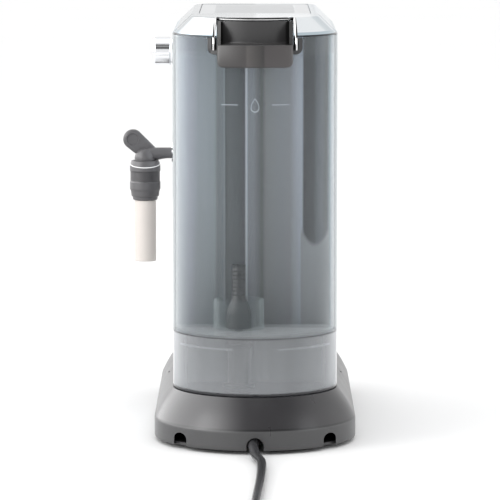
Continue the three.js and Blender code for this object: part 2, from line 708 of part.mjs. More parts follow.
function addPump() {
  add('pump', turned([
    [0, pumpLowZ], [5, pumpLowZ], [5, pumpLowZ + 11], [pumpRadius - 5, pumpLowZ + 11],
    [pumpRadius - 5, pumpLowZ + 19], [pumpRadius, pumpLowZ + 19], [pumpRadius, pumpLowZ + 59],
    [pumpRadius - 5, pumpLowZ + 59], [pumpRadius - 5, pumpLowZ + 67], [8, pumpLowZ + 67],
    [8, pumpLowZ + 87], [0, pumpLowZ + 87],
  ], 0, pumpY, 16), 0x8d9093, 0.5, 0.6);
  const mountRadius = pumpRadius - 7;
  const lowerMount = ring(mountRadius, 5.3, pumpLowZ + 3.2, pumpLowZ + 11 - gap, 0, pumpY, 20);
  const upperMount = ring(mountRadius, 8.3, pumpLowZ + 67 + gap, pumpLowZ + 73, 0, pumpY, 20);
  add('pump_mount_lower', lowerMount, ...rubber);
  add('pump_mount_upper', upperMount, ...rubber);
  const side = pumpRadius + 8;
  const foot = baseTopZ + gap;
  const high = pumpLowZ + 75.3;
  const bracket = join(
    block(-side, side, pumpY - 14, pumpY + 14, foot, foot + 2),
    block(-side, -side + 2, pumpY - 14, pumpY + 14, foot, high),
    block(side - 2, side, pumpY - 14, pumpY + 14, foot, high),
    block(-side, side, pumpY - 14, pumpY + 14, pumpLowZ + 0.9, pumpLowZ + 2.9),
    block(-side, side, pumpY - 14, pumpY + 14, high - 2, high),
  );
  const room = bar('z', hoseRadius + 1.5, 0, pumpLowZ + 10, 0, pumpY, 0);
  add('pump_bracket', cut(bracket, room, bar('z', 9, high - 5, high + 5, 0, pumpY, 0)), ...bodyMetal);
}

function addWaterPath() {
  const spigotTop = tankFloorTopZ - tankWall - poppetTravelRoom;
  add('inlet_spigot', turned([
    [2.2, baseTopZ - 9], [spigotTubeRadius, baseTopZ - 9], [spigotTubeRadius, baseTopZ + gap],
    [12, baseTopZ + gap], [12, baseTopZ + 3], [8, baseTopZ + 3], [8, spigotTop - 8],
    [7, spigotTop - 8], [7, spigotTop - 4.5], [8, spigotTop - 4.5],
    [8, spigotTop], [3, spigotTop], [3, spigotTop - 20], [2.2, spigotTop - 20],
  ], valveX, valveY, 16), ...darkPlastic);
  add('inlet_seal', ring(10, 7.2, spigotTop - 7.7, spigotTop - 4.8, valveX, valveY, 20), ...rubber);
  const low = baseTopZ - 22;
  add('inlet_hose', tube([
    [valveX, valveY, baseTopZ - 9.8], [valveX, valveY, low + 9], [valveX - 1, valveY - 7, low],
    [valveX / 2, (valveY + pumpY) / 2, low], [1, pumpY + 10, low],
    [0, pumpY, low + 8], [0, pumpY, pumpLowZ - gap],
  ], hoseRadius, 18, 8), 0xd9dcdc, 0.4);
  const boilerRear = groupY + boilerLength / 2;
  const boilerFront = groupY - boilerLength / 2;
  const boilerTop = boilerLowZ + boilerHeight;
  const outletZ = boilerLowZ + boilerHeight / 2;
  const boiler = block(-boilerHalfWidth, boilerHalfWidth, boilerFront, boilerRear, boilerLowZ, boilerTop);
  add('boiler', boiler, 0xa9abad, 0.45, 0.8);
  add('pressure_hose', tube([
    [0, pumpY, pumpLowZ + 87 + gap], [0, pumpY, pumpLowZ + 105], [0, pumpY - 6, outletZ - 22],
    [0, pumpY - 22, outletZ - 3], [0, boilerRear + 12, outletZ], [0, boilerRear + gap, outletZ],
  ], hoseRadius - 1, 16, 8), 0xe6e7e3, 0.4);
  const sensor = bar('z', 5, boilerTop + gap, boilerTop + 10, 0, groupY, 0, 16);
  add('temperature_sensor', sensor, 0xc9b26a, 0.4, 0.7);
  const steamX = bodyHalf - 13;
  add('steam_hose', tube([
    [22, groupY, boilerTop + gap], [22, groupY, boilerTop + 6], [30, groupY, boilerTop + 9],
    [steamX - 6, groupY, boilerTop + 9], [steamX, groupY - 2, boilerTop + 11],
    [steamX, sideControlsY, knobZ - 13], [steamX, sideControlsY, knobZ - 9.6],
  ], 2, 16, 8), 0xd8cfa8, 0.5);
  add('wand_feed_pipe', tube([
    [bodyHalf - 21, sideControlsY, knobZ - 9.6], [bodyHalf - 21, sideControlsY, boilerTop + 4],
    [bodyHalf - 21, sideControlsY, armZ + 14], [bodyHalf - 17, sideControlsY, armZ + 3],
    [bodyHalf - 9, sideControlsY, armZ], [bodyHalf - 3.9, sideControlsY, armZ],
  ], 2, 16, 8), ...steel);
}

function addElectrics() {
  const x = -bodyHalf + wall + 6;
  const board = block(x, x + boardThickness, pumpY - 28, pumpY + 34, baseTopZ + 20, baseTopZ + 110);
  add('control_board', board, 0x2f6b46, 0.6);
}

// ---------------------------------------------------------------- power cord
// Places chosen by hand for the stretch that is not coiled.
const cordStart = [1.4, baseRearY - 3.2, 7.6];
const cordRoute = [
  cordStart, [1.2, 172, 7.2], [-0.6, 187, 4.2], [-4.2, 208, 3.45], [-4.6, 235, 3.45], [-3.6, 281, 3.45],
  [-1, 349, 3.45], [0.5, 400, 3.45], [0, 438, 3.45],
];
const coilX = 48.1;
const coilY = 465;
const coilHeight = 2 * cordRadius + restHeight;
// The last stretch lies over the flat turns and ends in the plug beside them.
const tailRoute = [[20.7, 466, 10.6], [20.7, 480, 10.6], [20.7, 494, 10.6], [20.7, 508, 10.8], [20.7, 518, 11.1]];

function addCord() {
  const [x, y, z] = cordStart;
  add('cord_gland', turnedLevel([
    [0, -glandLength], [5.2, -glandLength], [5.2, -glandLength + 6], [4, 0], [0, 0],
  ], false, x, y - gap, z, 16), ...rubber);
  add('power_cord', tube(cordRoute, cordRadius, 26, 8), ...rubber);
  const inside = coilInnerTurn - cordRadius - restHeight;
  const outside = coilInnerTurn + coilTurns * coilPitch + cordRadius + restHeight;
  const coil = ring(outside, inside, restHeight / 2, coilHeight, coilX, coilY, 32);
  add('cord_coil', coil, ...rubber);
  add('cord_tail', tube(tailRoute, cordRadius, 6, 8), ...rubber);
  addPlug(...tailRoute[tailRoute.length - 1]);
}

// Lies on the floor with its two blades and its earth pin pointing away from the machine.
function addPlug(x, y, z) {
  const face = y + plugLength;
  const body = block(x - plugHalf, x + plugHalf, y + plugNose, face, restHeight, 2 * z - restHeight);
  const nose = bar('y', 6, y + gap, y + plugNose + 1, x, 0, z, 16);
  const blade = (side) => block(side - 0.8, side + 0.8, face - 1, face + bladeLength, z, z + bladePitch / 2);
  const earth = bar('y', 2.4, face - 1, face + bladeLength + 3, x, 0, z - 5, 12);
  add('plug', join(body, nose, blade(x - bladePitch / 2), blade(x + bladePitch / 2), earth), ...rubber);
}

addBase();
addDripTray();
addBody();
addTank();
addGroup();
addPortafilter();
addSteam();
addButtons();
addPump();
addWaterPath();
addElectrics();
addCord();

// The origin is on the floor under the middle of the machine, measured without its cord.
const rightReach = wandX + tabOffset + tabRadius;
const frontReach = bossFrontY - gap - gripLength;
machine.position.set((baseHalf - rightReach) / 2, -(baseRearY + frontReach) / 2, 0);

export default machine;
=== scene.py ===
"""Slim pump espresso machine, seen from behind: clear rear water tank, steam wand, flared base and cord."""

import json
from math import pi, radians

import bmesh
import bpy
import numpy as np
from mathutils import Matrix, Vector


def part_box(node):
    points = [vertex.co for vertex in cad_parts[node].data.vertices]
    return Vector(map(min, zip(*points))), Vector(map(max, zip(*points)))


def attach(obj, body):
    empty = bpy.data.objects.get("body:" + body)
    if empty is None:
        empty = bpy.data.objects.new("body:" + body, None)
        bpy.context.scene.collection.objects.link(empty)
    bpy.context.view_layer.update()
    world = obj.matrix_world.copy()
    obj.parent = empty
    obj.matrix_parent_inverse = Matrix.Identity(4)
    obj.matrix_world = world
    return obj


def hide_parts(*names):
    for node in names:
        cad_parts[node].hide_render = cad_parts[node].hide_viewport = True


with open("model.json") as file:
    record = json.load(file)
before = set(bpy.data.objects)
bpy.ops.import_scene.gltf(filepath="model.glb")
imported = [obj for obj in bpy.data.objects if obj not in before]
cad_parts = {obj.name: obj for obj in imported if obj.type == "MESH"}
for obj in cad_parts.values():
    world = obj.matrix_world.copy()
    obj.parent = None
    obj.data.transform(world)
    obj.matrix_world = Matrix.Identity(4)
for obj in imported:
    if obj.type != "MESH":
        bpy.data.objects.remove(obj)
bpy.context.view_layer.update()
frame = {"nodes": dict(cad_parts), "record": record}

MM = 0.001
bodies = frame["record"]["behaviour"]["bodies"]
BODY_OF = {node: body for body, nodes in bodies.items() for node in nodes}


def ends(node):
    """The lowest and the highest corner of a node's box."""
    return np.array(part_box(node))


def low(node):
    """The lowest corner of a node's box."""
    return ends(node)[0]


def high(node):
    """The highest corner of a node's box."""
    return ends(node)[1]


def middle(node):
    """The centre of a node's box."""
    return ends(node).mean(axis=0)


# ------------------------------------------------------------------ places taken from the frame
MID_X = middle("water_tank")[0]
TANK_HALF = (high("water_tank") - low("water_tank"))[0] / 2
REAR_Y = high("water_tank")[1] - TANK_HALF  # centre of the half-round rear
BODY_HALF = TANK_HALF + 0.25 * MM
BASE_HALF = (high("base_housing") - low("base_housing"))[0] / 2
FLARE = BASE_HALF - BODY_HALF
BODY_TOP = high("water_tank")[2]
TOP = high("top_frame")[2]
HEAD_FRONT = low("head_shell")[1]
BASE_FRONT = low("base_housing")[1] + FLARE
BASE_TOP = high("base_housing")[2]
COLUMN_FRONT = low("column_shell")[1]
TANK_FRONT = low("water_tank")[1]
GROUP = middle("group_head")
WALL = 2 * MM
TOP_LEAN = 14 * MM  # how far the chamfer leans inwards
BASE_CORNER = 30 * MM  # the base's front corners in plan
HEAD_CORNER = 30 * MM
RIM_LOW = low("base_housing")[2]
RIM_HIGH = RIM_LOW + 14 * MM
TANK_BOTTOM = low("water_tank")[2]
TANK_FLOOR = low("valve_collar")[2] - 0.3 * MM
HANDLE_HALF = 26.8 * MM
BUTTONS = ("button_one_cup", "button_steam", "button_two_cups")
CAMERA_LENS = 245.86
CAMERA_BACK = 2.46967
CAMERA_UP = 0.4275
CAMERA_DOWN = 6.674  # degrees


# ------------------------------------------------------------------ camera and cord
def add_camera():
    """Behind the machine and a little above it, a long lens turned down by less than seven degrees."""
    camera = bpy.data.objects.new("camera", bpy.data.cameras.new("camera"))
    camera.data.lens = CAMERA_LENS
    camera.data.clip_end = 60
    camera.data.shift_x = -0.01
    camera.location = (MID_X, REAR_Y + CAMERA_BACK, CAMERA_UP)
    camera.rotation_euler = (radians(90 - CAMERA_DOWN), 0, pi)
    bpy.context.collection.objects.link(camera)
    bpy.context.scene.camera = camera


CORD_RADIUS = 3.4 * MM
FRAME_SHIFT = np.array([MID_X, REAR_Y - 90 * MM, 0])
CORD_ROUTE = np.array([
    [1.4, 160.3, 7.6], [1.2, 172, 7.2], [-0.6, 187, 4.3], [-2.5, 197, 3.7], [-4.2, 208, 3.55],
    [-4.6, 235, 3.5], [-3.6, 281, 3.45], [-1, 349, 3.45], [0.5, 400, 3.45], [0, 438, 3.45],
]) * MM + FRAME_SHIFT
CORD_TAIL = np.array([
    [20.7, 466, 10.4], [20.7, 480, 10.4], [20.7, 494, 10.4], [20.7, 508, 10.7], [20.7, 518, 11.1],
]) * MM + FRAME_SHIFT
COIL_CENTRE = np.array([48.1, 465, 3.6]) * MM + FRAME_SHIFT
COIL_TURNS = 3
COIL_INNER = 27.4 * MM
COIL_PITCH = 6.9 * MM


def coil_turns():
    """A flat spiral wound inwards: the radius falls one cord's width a turn, and the last part climbs
    along a half cosine to lie over the turns that it leaves across."""
    turn = np.linspace(0.004, 1, 1 + 30 * COIL_TURNS) * COIL_TURNS
    angle = pi - 2 * pi * turn
    radius = COIL_INNER + COIL_PITCH * (COIL_TURNS - turn)
    climb = np.clip((turn - COIL_TURNS + 0.2) / 0.2, 0, 1)
    rise = (CORD_TAIL[0, 2] - COIL_CENTRE[2]) * (1 - np.cos(pi * climb)) / 2
    flat = np.stack([np.cos(angle) * radius, np.sin(angle) * radius, rise], axis=1)
    return COIL_CENTRE + flat


def smooth_path(points, per_span):
    """Passes a centripetal Catmull-Rom curve through the points, with per_span places on each stretch."""
    ends = [2 * points[0] - points[1], 2 * points[-1] - points[-2]]
    knots = np.vstack([ends[0], points, ends[1]])
    span = np.sqrt(np.linalg.norm(np.diff(knots, axis=0), axis=1))
    second = span[:-2] + span[1:-1]
    ticks = (np.zeros(len(second)), span[:-2], second, second + span[2:])
    share = np.linspace(0, 1, per_span, endpoint=False)[None, :, None]
    t0, t1, t2, t3 = (tick[:, None, None] for tick in ticks)
    t = t1 + share * (t2 - t1)
    p0, p1, p2, p3 = (knots[k:len(knots) - 3 + k, None, :] for k in range(4))
    a1 = p0 + (p1 - p0) * (t - t0) / (t1 - t0)
    a2 = p1 + (p2 - p1) * (t - t1) / (t2 - t1)
    a3 = p2 + (p3 - p2) * (t - t2) / (t3 - t2)
    b1 = a1 + (a2 - a1) * (t - t0) / (t2 - t0)
    b2 = a2 + (a3 - a2) * (t - t1) / (t3 - t1)
    curve = b1 + (b2 - b1) * (t - t1) / (t2 - t1)
    return np.vstack([curve.reshape(-1, 3), points[-1]])


# ------------------------------------------------------------------ mesh building
def grid_faces(rows, columns, wrap_rows):
    """Four-sided faces between neighbouring rows; the columns always close on themselves."""
    count = rows if wrap_rows else rows - 1
    row, column = np.meshgrid(np.arange(count), np.arange(columns), indexing="ij")
    after, beside = (row + 1) % rows, (column + 1) % columns
    here, there = row * columns, after * columns
    corners = (here + column, here + beside, there + beside, there + column)
    return np.stack(corners, axis=-1).reshape(-1, 4)


def shown(name, points, faces, sharp):
    """An object from points and faces, shaded smooth but for the edges that turn more than sharp."""
    mesh = bpy.data.meshes.new(name)
    mesh.from_pydata(points.tolist(), [], faces)
    mesh.validate()
    mesh.shade_smooth()
    mesh.set_sharp_from_angle(angle=radians(sharp))
    made = bpy.data.objects.new(name, mesh)
    bpy.context.collection.objects.link(made)
    return made


def volume_of(points, quads):
    """Signed volume within four-sided faces: the sum of (a x b) . c over their triangles."""
    a, b, c, d = (points[quads[:, k]] for k in range(4))
    return (np.cross(a, b) * c).sum() + (np.cross(a, c) * d).sum()


def piece(name, grid, wrap_rows=False, sharp=35):
    """A closed mesh from a (rows, columns, 3) grid of points. Open rows are shut by a flat face at each
    end. The sign of its volume says which way its faces point."""
    rows, columns = grid.shape[:2]
    points = grid.reshape(-1, 3)
    centred = points - points.mean(axis=0)
    quads = grid_faces(rows, columns, wrap_rows)
    volume = volume_of(centred, quads)
    faces = quads.tolist()
    if not wrap_rows:
        for cap in (np.arange(columns)[::-1], (rows - 1) * columns + np.arange(columns)):
            ring = centred[cap]
            volume += (np.cross(ring[0], ring[1:-1]) * ring[2:]).sum()
            faces.append(cap.tolist())
    if volume < 0:
        faces = [face[::-1] for face in faces]
    return shown(name, points, faces, sharp)


def laid(outline, place, across=2):
    """A flat outline as points in space, at a place along the axis that it lies across."""
    return np.insert(outline, across, place, axis=1)


def upright(name, outline, heights):
    """An (x, y) outline carried straight up through the heights."""
    return piece(name, np.stack([laid(outline, z) for z in heights]))


def round_tank(x, radius, z):
    """Points at a radius about the tank's axis: y = rear centre + sqrt(radius squared - x squared)."""
    return np.column_stack([MID_X + x, REAR_Y + np.sqrt(radius ** 2 - x ** 2), z])


def rounded(corners, radius, steps=5, closed=False):
    """An outline whose corners are eased: each is replaced by a parabola between two points on its
    sides, radius away from it or under half the side's length. A point a little further out on
    each side keeps the flat stretches flat."""
    corners = np.array(corners, float)
    count = len(corners)
    out = []
    for i, corner in enumerate(corners):
        if not closed and i in (0, count - 1):
            out.append(corner[None])
            continue
        to_last, to_next = corners[i - 1] - corner, corners[(i + 1) % count] - corner
        shares = [min(0.44, radius / np.linalg.norm(side)) for side in (to_last, to_next)]
        start, end = corner + to_last * shares[0], corner + to_next * shares[1]
        t = np.linspace(0, 1, steps)[:, None]
        curve = (1 - t) ** 2 * start + 2 * t * (1 - t) * corner + t ** 2 * end
        before, after = corner + to_last * shares[0] * 1.12, corner + to_next * shares[1] * 1.12
        out.append(np.vstack([before, curve, after]))
    return np.vstack(out)


def s_curve(share):
    """0 below 0, 1 above 1, and 3 s^2 - 2 s^3 between them."""
    share = np.clip(share, 0, 1)
    return share ** 2 * (3 - 2 * share)


def dense(profile, step):
    """The same outline with more points, no further apart than step."""
    profile = np.array(profile, float)
    stretches = []
    for first, last in zip(profile[:-1], profile[1:]):
        count = max(1, int(np.ceil(np.linalg.norm(last - first) / step)))
        stretches.append(np.linspace(first, last, count, endpoint=False))
    return np.vstack([*stretches, profile[-1:]])


def plan(inset, front, corner):
    """Plan outlines, one for each inset: a half circle at the rear, straight sides and quarter-round
    front corners, all moved inwards by the inset. Gives (insets, points, 2)."""
    inset = np.atleast_1d(inset)[:, None]
    half = BODY_HALF - inset
    nose = np.maximum(corner - inset, 0.4 * MM)
    face = front + inset
    rear = np.linspace(0, pi, 97)[None]
    quarter = np.linspace(0, pi / 2, 17)[None]
    side = np.linspace(0, 1, 14)[None, 1:-1]
    left_y = REAR_Y + (face + nose - REAR_Y) * side
    straight = half * np.ones_like(left_y)
    x = [half * np.cos(rear), -straight, -half + nose - nose * np.cos(quarter),
         half - nose + nose * np.sin(quarter), straight]
    y = [REAR_Y + half * np.sin(rear), left_y, face + nose - nose * np.sin(quarter),
         face + nose - nose * np.cos(quarter), left_y[:, ::-1]]
    return np.stack([np.hstack(x) + MID_X, np.hstack(y)], axis=-1)


def stack(name, profile, front, corner, wrap=False, sharp=35):
    """Plan outlines stacked along a profile of (inset, height)."""
    profile = np.array(profile, float)
    outlines = plan(profile[:, 0], front, corner)
    heights = np.broadcast_to(profile[:, 1, None, None], outlines.shape[:2] + (1,))
    return piece(name, np.concatenate([outlines, heights], axis=-1), wrap, sharp)


def turned(name, profile, centre, axis="z", sides=72, loop=False):
    """A profile of (radius, place along the axis) carried round the axis through centre. Loop joins the
    profile's last point to its first."""
    profile = np.array(profile, float)
    angle = np.linspace(0, 2 * pi, sides, endpoint=False)[None]
    radius, along = profile[:, 0, None], profile[:, 1, None] + 0 * angle
    across, up = radius * np.cos(angle), radius * np.sin(angle)
    order = {"z": (across, up, along), "x": (along, across, up), "y": (up, along, across)}[axis]
    return piece(name, np.stack(order, axis=-1) + np.array(centre), loop)


def drill(radius, first, last, centre, axis="z", sides=48):
    """A round cutting tool between two places along an axis."""
    return turned("drill", [[radius, first], [radius, last]], centre, axis, sides)


def swept(name, path, radius, sides=20):
    """A round section of the given radius carried along a path. The section's two directions come
    from the path's direction and one fixed direction, the one of four least in line with it."""
    step = np.gradient(path, axis=0)
    step /= np.linalg.norm(step, axis=1, keepdims=True)
    guides = np.array([[0.0, 0.0, 1.0], [0.0, 1.0, 0.0], [0.577, 0.577, 0.577], [0.577, -0.577, 0.577]])
    guide = guides[abs(step @ guides.T).max(axis=0).argmin()]
    side = np.cross(step, guide)
    side /= np.linalg.norm(side, axis=1, keepdims=True)
    up = np.cross(side, step)
    angle = np.linspace(0, 2 * pi, sides, endpoint=False)[None, :, None]
    radius = np.broadcast_to(radius, len(path))[:, None, None]
    ring = np.cos(angle) * side[:, None] + np.sin(angle) * up[:, None]
    return piece(name, path[:, None] + radius * ring, sharp=50)


def around_tank(name, section, half):
    """A closed (radius, height) section carried sideways at a constant distance from the tank's axis:
    at each x the place is y = rear centre + sqrt(radius squared - x squared)."""
    section = np.array(section, float)
    x = np.linspace(-half, half, 41)[:, None]
    y = REAR_Y + np.sqrt(section[None, :, 0] ** 2 - x ** 2)
    return piece(name, np.stack([MID_X + x + 0 * y, y, section[None, :, 1] + 0 * y], axis=-1))


def block(name, first, last):
    """A plain box between two corners, used only as a cutting tool."""
    (x0, y0, z0), (x1, y1, z1) = first, last
    return upright(name, np.array([[x0, y0], [x1, y0], [x1, y1], [x0, y1]], float), (z0, z1))


def beyond(y):
    """A cutting tool that holds everything further back than y."""
    return block("beyond", (-1, y, -1), (1, 1, 1))


def cut(made, *tools, operation="DIFFERENCE", sharp=35):
    """Takes the tools' space out of a piece, keeps only what it shares with them, or adds them to it.
    Points that are left closer than a hair are then merged and slivers dissolved."""
    for tool in tools:
        modifier = made.modifiers.new("cut", "BOOLEAN")
        modifier.operation = operation
        modifier.solver = "EXACT"
        modifier.object = tool
    evaluated = made.evaluated_get(bpy.context.evaluated_depsgraph_get())
    mesh = bpy.data.meshes.new_from_object(evaluated)
    made.modifiers.clear()
    made.data = mesh
    clean = bmesh.new()
    clean.from_mesh(mesh)
    bmesh.ops.remove_doubles(clean, verts=clean.verts, dist=0.02 * MM)
    bmesh.ops.dissolve_degenerate(clean, edges=clean.edges, dist=0.01 * MM)
    clean.to_mesh(mesh)
    clean.free()
    mesh.set_sharp_from_angle(angle=radians(sharp))
    for tool in tools:
        bpy.data.objects.remove(tool)
    return made


def joined(name, *parts):
    """Several meshes made one object, none of them changed."""
    points, faces, start = [], [], 0
    for part in parts:
        mesh = part.data
        places = np.empty(3 * len(mesh.vertices), np.float32)
        corners = np.empty(len(mesh.loops), np.int32)
        counts = np.empty(len(mesh.polygons), np.int32)
        mesh.vertices.foreach_get("co", places)
        mesh.loops.foreach_get("vertex_index", corners)
        mesh.polygons.foreach_get("loop_total", counts)
        points.append(places.reshape(-1, 3))
        faces += [face.tolist() for face in np.split(corners + start, np.cumsum(counts)[:-1])]
        start += len(mesh.vertices)
        bpy.data.objects.remove(part)
    return shown(name, np.vstack(points), faces, 35)


# ------------------------------------------------------------------ finishes
class Link:
    """A number in a finish. Arithmetic on it adds Math nodes."""

    def __init__(self, finish, socket):
        self.finish, self.socket = finish, socket

    def _math(self, operation, *values):
        return self.finish.node("ShaderNodeMath", {"operation": operation}, dict(enumerate(values)))

    def __add__(self, other):
        return self._math("ADD", self, other)

    def __sub__(self, other):
        return self._math("SUBTRACT", self, other)

    def __rsub__(self, other):
        return self._math("SUBTRACT", other, self)

    def __mul__(self, other):
        return self._math("MULTIPLY", self, other)

    def __truediv__(self, other):
        return self._math("DIVIDE", self, other)

    def __pow__(self, other):
        return self._math("POWER", self, other)

    def __lt__(self, other):
        return self._math("LESS_THAN", self, other)

    def __gt__(self, other):
        return self._math("GREATER_THAN", self, other)

    def larger(self, other):
        return self._math("MAXIMUM", self, other)

    def __abs__(self):
        return self._math("ABSOLUTE", self)

    __radd__, __rmul__ = __add__, __mul__


class Graph:
    """A node tree, with one method that adds any node to it."""

    def __init__(self, tree):
        self.tree = tree

    def node(self, kind, settings=None, inputs=None, out=0):
        """Adds a node: its settings first, then the values or links of its sockets."""
        made = self.tree.nodes.new(kind)
        for key, value in (settings or {}).items():
            if key == "stops":
                self._set_stops(made.color_ramp, value)
            else:
                setattr(made, key, value)
        for socket, value in (inputs or {}).items():
            self.feed(made.inputs[socket], value)
        return Link(self, made.outputs[out])

    @staticmethod
    def _set_stops(ramp, stops):
        while len(ramp.elements) < len(stops):
            ramp.elements.new(1)
        for element, (place, *tone) in zip(ramp.elements, stops):
            element.position = place
            element.color = shade(*(tone * 3)[:3])

    def feed(self, socket, value):
        """Links a socket to a node's result, or sets its value."""
        if isinstance(value, Link):
            self.tree.links.new(value.socket, socket)
        else:
            socket.default_value = value

    def ramp(self, value, *stops):
        """A colour ramp whose stops are a place and one grey, or a place and three parts of a colour."""
        return self.node("ShaderNodeValToRGB", {"stops": stops}, {0: value})

    def fade(self, value, start, end):
        """0 before start, 1 after end, and an S-shaped curve between them."""
        return self.node("ShaderNodeMapRange", {"interpolation_type": "SMOOTHSTEP"},
                         {0: value, 1: start, 2: end, 3: 0.0, 4: 1.0})

    def blend(self, mask, first, second, way="MIX"):
        """One colour where the mask is 0, and the other where it is 1, or their product."""
        settings = {"data_type": "RGBA", "blend_type": way}
        return self.node("ShaderNodeMix", settings, {0: mask, 6: first, 7: second}, out=2)


class Finish(Graph):
    """A material around one Principled shader, whose constant sockets are given by name."""

    def __init__(self, name, slot, **constants):
        self.name, self.slot = name, slot
        self.material = bpy.data.materials.new(name)
        self.material.use_nodes = True
        super().__init__(self.material.node_tree)
        self.shader = self.tree.nodes["Principled BSDF"]
        for socket, value in constants.items():
            self.shader.inputs[socket.replace("_", " ")].default_value = value

    def set(self, name, value):
        """Feeds a socket of the shader."""
        self.feed(self.shader.inputs[name], value)

    def place(self):
        """The place in the frame, since every piece has its origin there."""
        return self.node("ShaderNodeTexCoord", out="Object")

    def axis(self, letter):
        """The place along one axis, in metres."""
        return self.node("ShaderNodeSeparateXYZ", inputs={0: self.place()}, out="XYZ".index(letter))

    def noise(self, size, stretch=(1, 1, 1), detail=3.0, centre=(0, 0, 0)):
        """Noise of about 0 to 1 whose blotches are size metres across, drawn out by stretch."""
        scale = tuple(1 / (size * s) for s in stretch)
        inputs = {"Vector": self.place(), "Location": centre, "Scale": scale}
        mapped = self.node("ShaderNodeMapping", inputs=inputs)
        return self.node("ShaderNodeTexNoise", inputs={"Vector": mapped, "Scale": 1.0, "Detail": detail})

    def bump(self, height, depth):
        """Tilts the surface by a height from 0 to 1 that stands for a depth in metres."""
        inputs = {"Height": height, "Distance": depth, "Strength": 1.0}
        self.set("Normal", self.node("ShaderNodeBump", inputs=inputs))


def shade(red, green, blue):
    """A solid colour."""
    return (red, green, blue, 1.0)


def scaled(colour, factor):
    """A colour made lighter or darker."""
    return tuple(min(1.0, c * factor) for c in colour[:3]) + (1.0,)


def moulded(name, slot, colour, roughness, grain=0.35 * MM, depth=0.03 * MM, wear=0.12):
    """Moulded plastic or rubber: fine spark-eroded grain, slight cloudiness and handling marks."""
    finish = Finish(name, slot, Specular_IOR_Level=0.5)
    cloud = finish.noise(30 * MM, detail=4)
    speck = finish.noise(grain, detail=2)
    mottled = finish.blend(cloud * 0.7 + speck * 0.3, scaled(colour, 1 - wear), scaled(colour, 1 + wear))
    finish.set("Base Color", mottled)
    smear = finish.noise(12 * MM, stretch=(1, 1, 4), centre=(3, 1, 2))
    finish.set("Roughness", roughness - 0.06 + smear * 0.12)
    finish.bump(speck, depth)
    return finish


def metal(name, slot, colour, roughness, stretch=(1, 1, 1), size=0.5 * MM, depth=0.004 * MM, spread=0.08):
    """Metal with fine brushed or polishing lines drawn out along stretch, and faint finger haze."""
    finish = Finish(name, slot, Metallic=1.0)
    line = finish.noise(size, stretch=stretch, detail=4)
    haze = finish.noise(26 * MM, detail=3, centre=(1, 4, 2))
    clouded = finish.blend(line * 0.5 + haze * 0.5, scaled(colour, 0.93), scaled(colour, 1.05))
    finish.set("Base Color", clouded)
    finish.set("Roughness", roughness - spread / 2 + line * spread * 0.6 + haze * spread * 0.6)
    finish.bump(line, depth)
    return finish


def smoke_clear():
    """Clear smoke-grey plastic: nearly see-through head on, less so towards its edges, where a pale colour
    is painted as a painted reflection, cloudier below the tank's floor, with faint flow lines and scuffs. A
    thin dark line of painted shade marks the floor's edge round the half circle, a painted highlight arc lies
    under it, and the foot is a dark band of painted shadow."""
    finish = Finish("smoke_clear", "clear_plastic", IOR=1.49, Specular_IOR_Level=0.6)
    height = finish.axis("Z")
    rear = finish.axis("Y") > REAR_Y - 4 * MM
    skirt = finish.fade(height, TANK_FLOOR - 1.2 * MM, TANK_FLOOR - 2.7 * MM)
    # Painted shade: a dark line where the floor's edge shows through the wall.
    floor_edge_shade = (abs(height - (TANK_FLOOR - 1.4 * MM)) < 0.5 * MM) * rear
    # Painted highlight: a pale arc under the floor line.
    beside = abs(finish.axis("X") - MID_X)
    highlight_arc_span = (beside > 16 * MM) * (beside < 54 * MM)
    painted_highlight_arc = (abs(height - (TANK_FLOOR - 9 * MM)) < 0.7 * MM) * rear * highlight_arc_span
    # Painted shadow: a dark band along the foot, for the gap under the tank.
    foot_gap_shadow = (height < TANK_BOTTOM + 1.9 * MM) * rear
    rim_zone = (height > BODY_TOP - 13.5 * MM)
    facing = finish.node("ShaderNodeLayerWeight", inputs={"Blend": 0.5}, out="Facing")
    flow = finish.noise(9 * MM, stretch=(1, 1, 14), detail=3)
    streak = finish.noise(7 * MM, stretch=(1, 1, 40), detail=2, centre=(2, 0, 0))
    edge = facing ** 3.0
    lines = floor_edge_shade * 0.45 + painted_highlight_arc * 0.03 + foot_gap_shadow * 0.9
    finish.set("Alpha", 0.075 + flow * 0.04 + edge * 0.7 + skirt * 0.3 + rim_zone * 0.04 + lines)
    # Painted reflection: the colour turns pale towards the edges.
    clear = finish.blend(facing ** 2.0, shade(0.20, 0.22, 0.235), shade(0.86, 0.91, 0.93))
    pale = finish.blend(facing ** 2.0, shade(0.26, 0.27, 0.285), shade(0.86, 0.88, 0.90))
    # The skirt is darker just under the floor, as painted shade, and paler towards its foot.
    bounds = {0: height, 1: TANK_FLOOR, 2: TANK_BOTTOM, 3: -0.25, 4: 0.35}
    bottom = finish.node("ShaderNodeMapRange", inputs=bounds)
    cloudy = finish.blend(streak * 0.7 + bottom, pale, shade(0.44, 0.46, 0.48))
    body = finish.blend(skirt, clear, cloudy)
    dark = finish.blend((floor_edge_shade + foot_gap_shadow) > 0.5, body, shade(0.012, 0.012, 0.016))
    finish.set("Base Color", finish.blend(painted_highlight_arc * 0.2, dark, shade(0.80, 0.86, 0.90)))
    scuff = finish.noise(2.2 * MM, stretch=(1, 1, 5), detail=5)
    finish.set("Roughness", 0.05 + scuff * 0.06)
    finish.bump(flow, 0.02 * MM)
    return finish


def collar_clear():
    """Thicker clear plastic: greener and milkier than the tank's wall, and painted brighter at its edges as a
    painted reflection.
    """
    finish = Finish("collar_clear", "clear_plastic", IOR=1.49, Roughness=0.12)
    facing = finish.node("ShaderNodeLayerWeight", inputs={"Blend": 0.5}, out="Facing")
    cloud = finish.noise(5 * MM, detail=3)
    finish.set("Alpha", 0.07 + cloud * 0.06 + facing ** 3.0 * 0.8)
    # Painted reflection: the colour turns pale towards the edges.
    finish.set("Base Color", finish.blend(facing ** 2.0, shade(0.12, 0.16, 0.17), shade(0.72, 0.84, 0.84)))
    finish.bump(cloud, 0.05 * MM)
    return finish
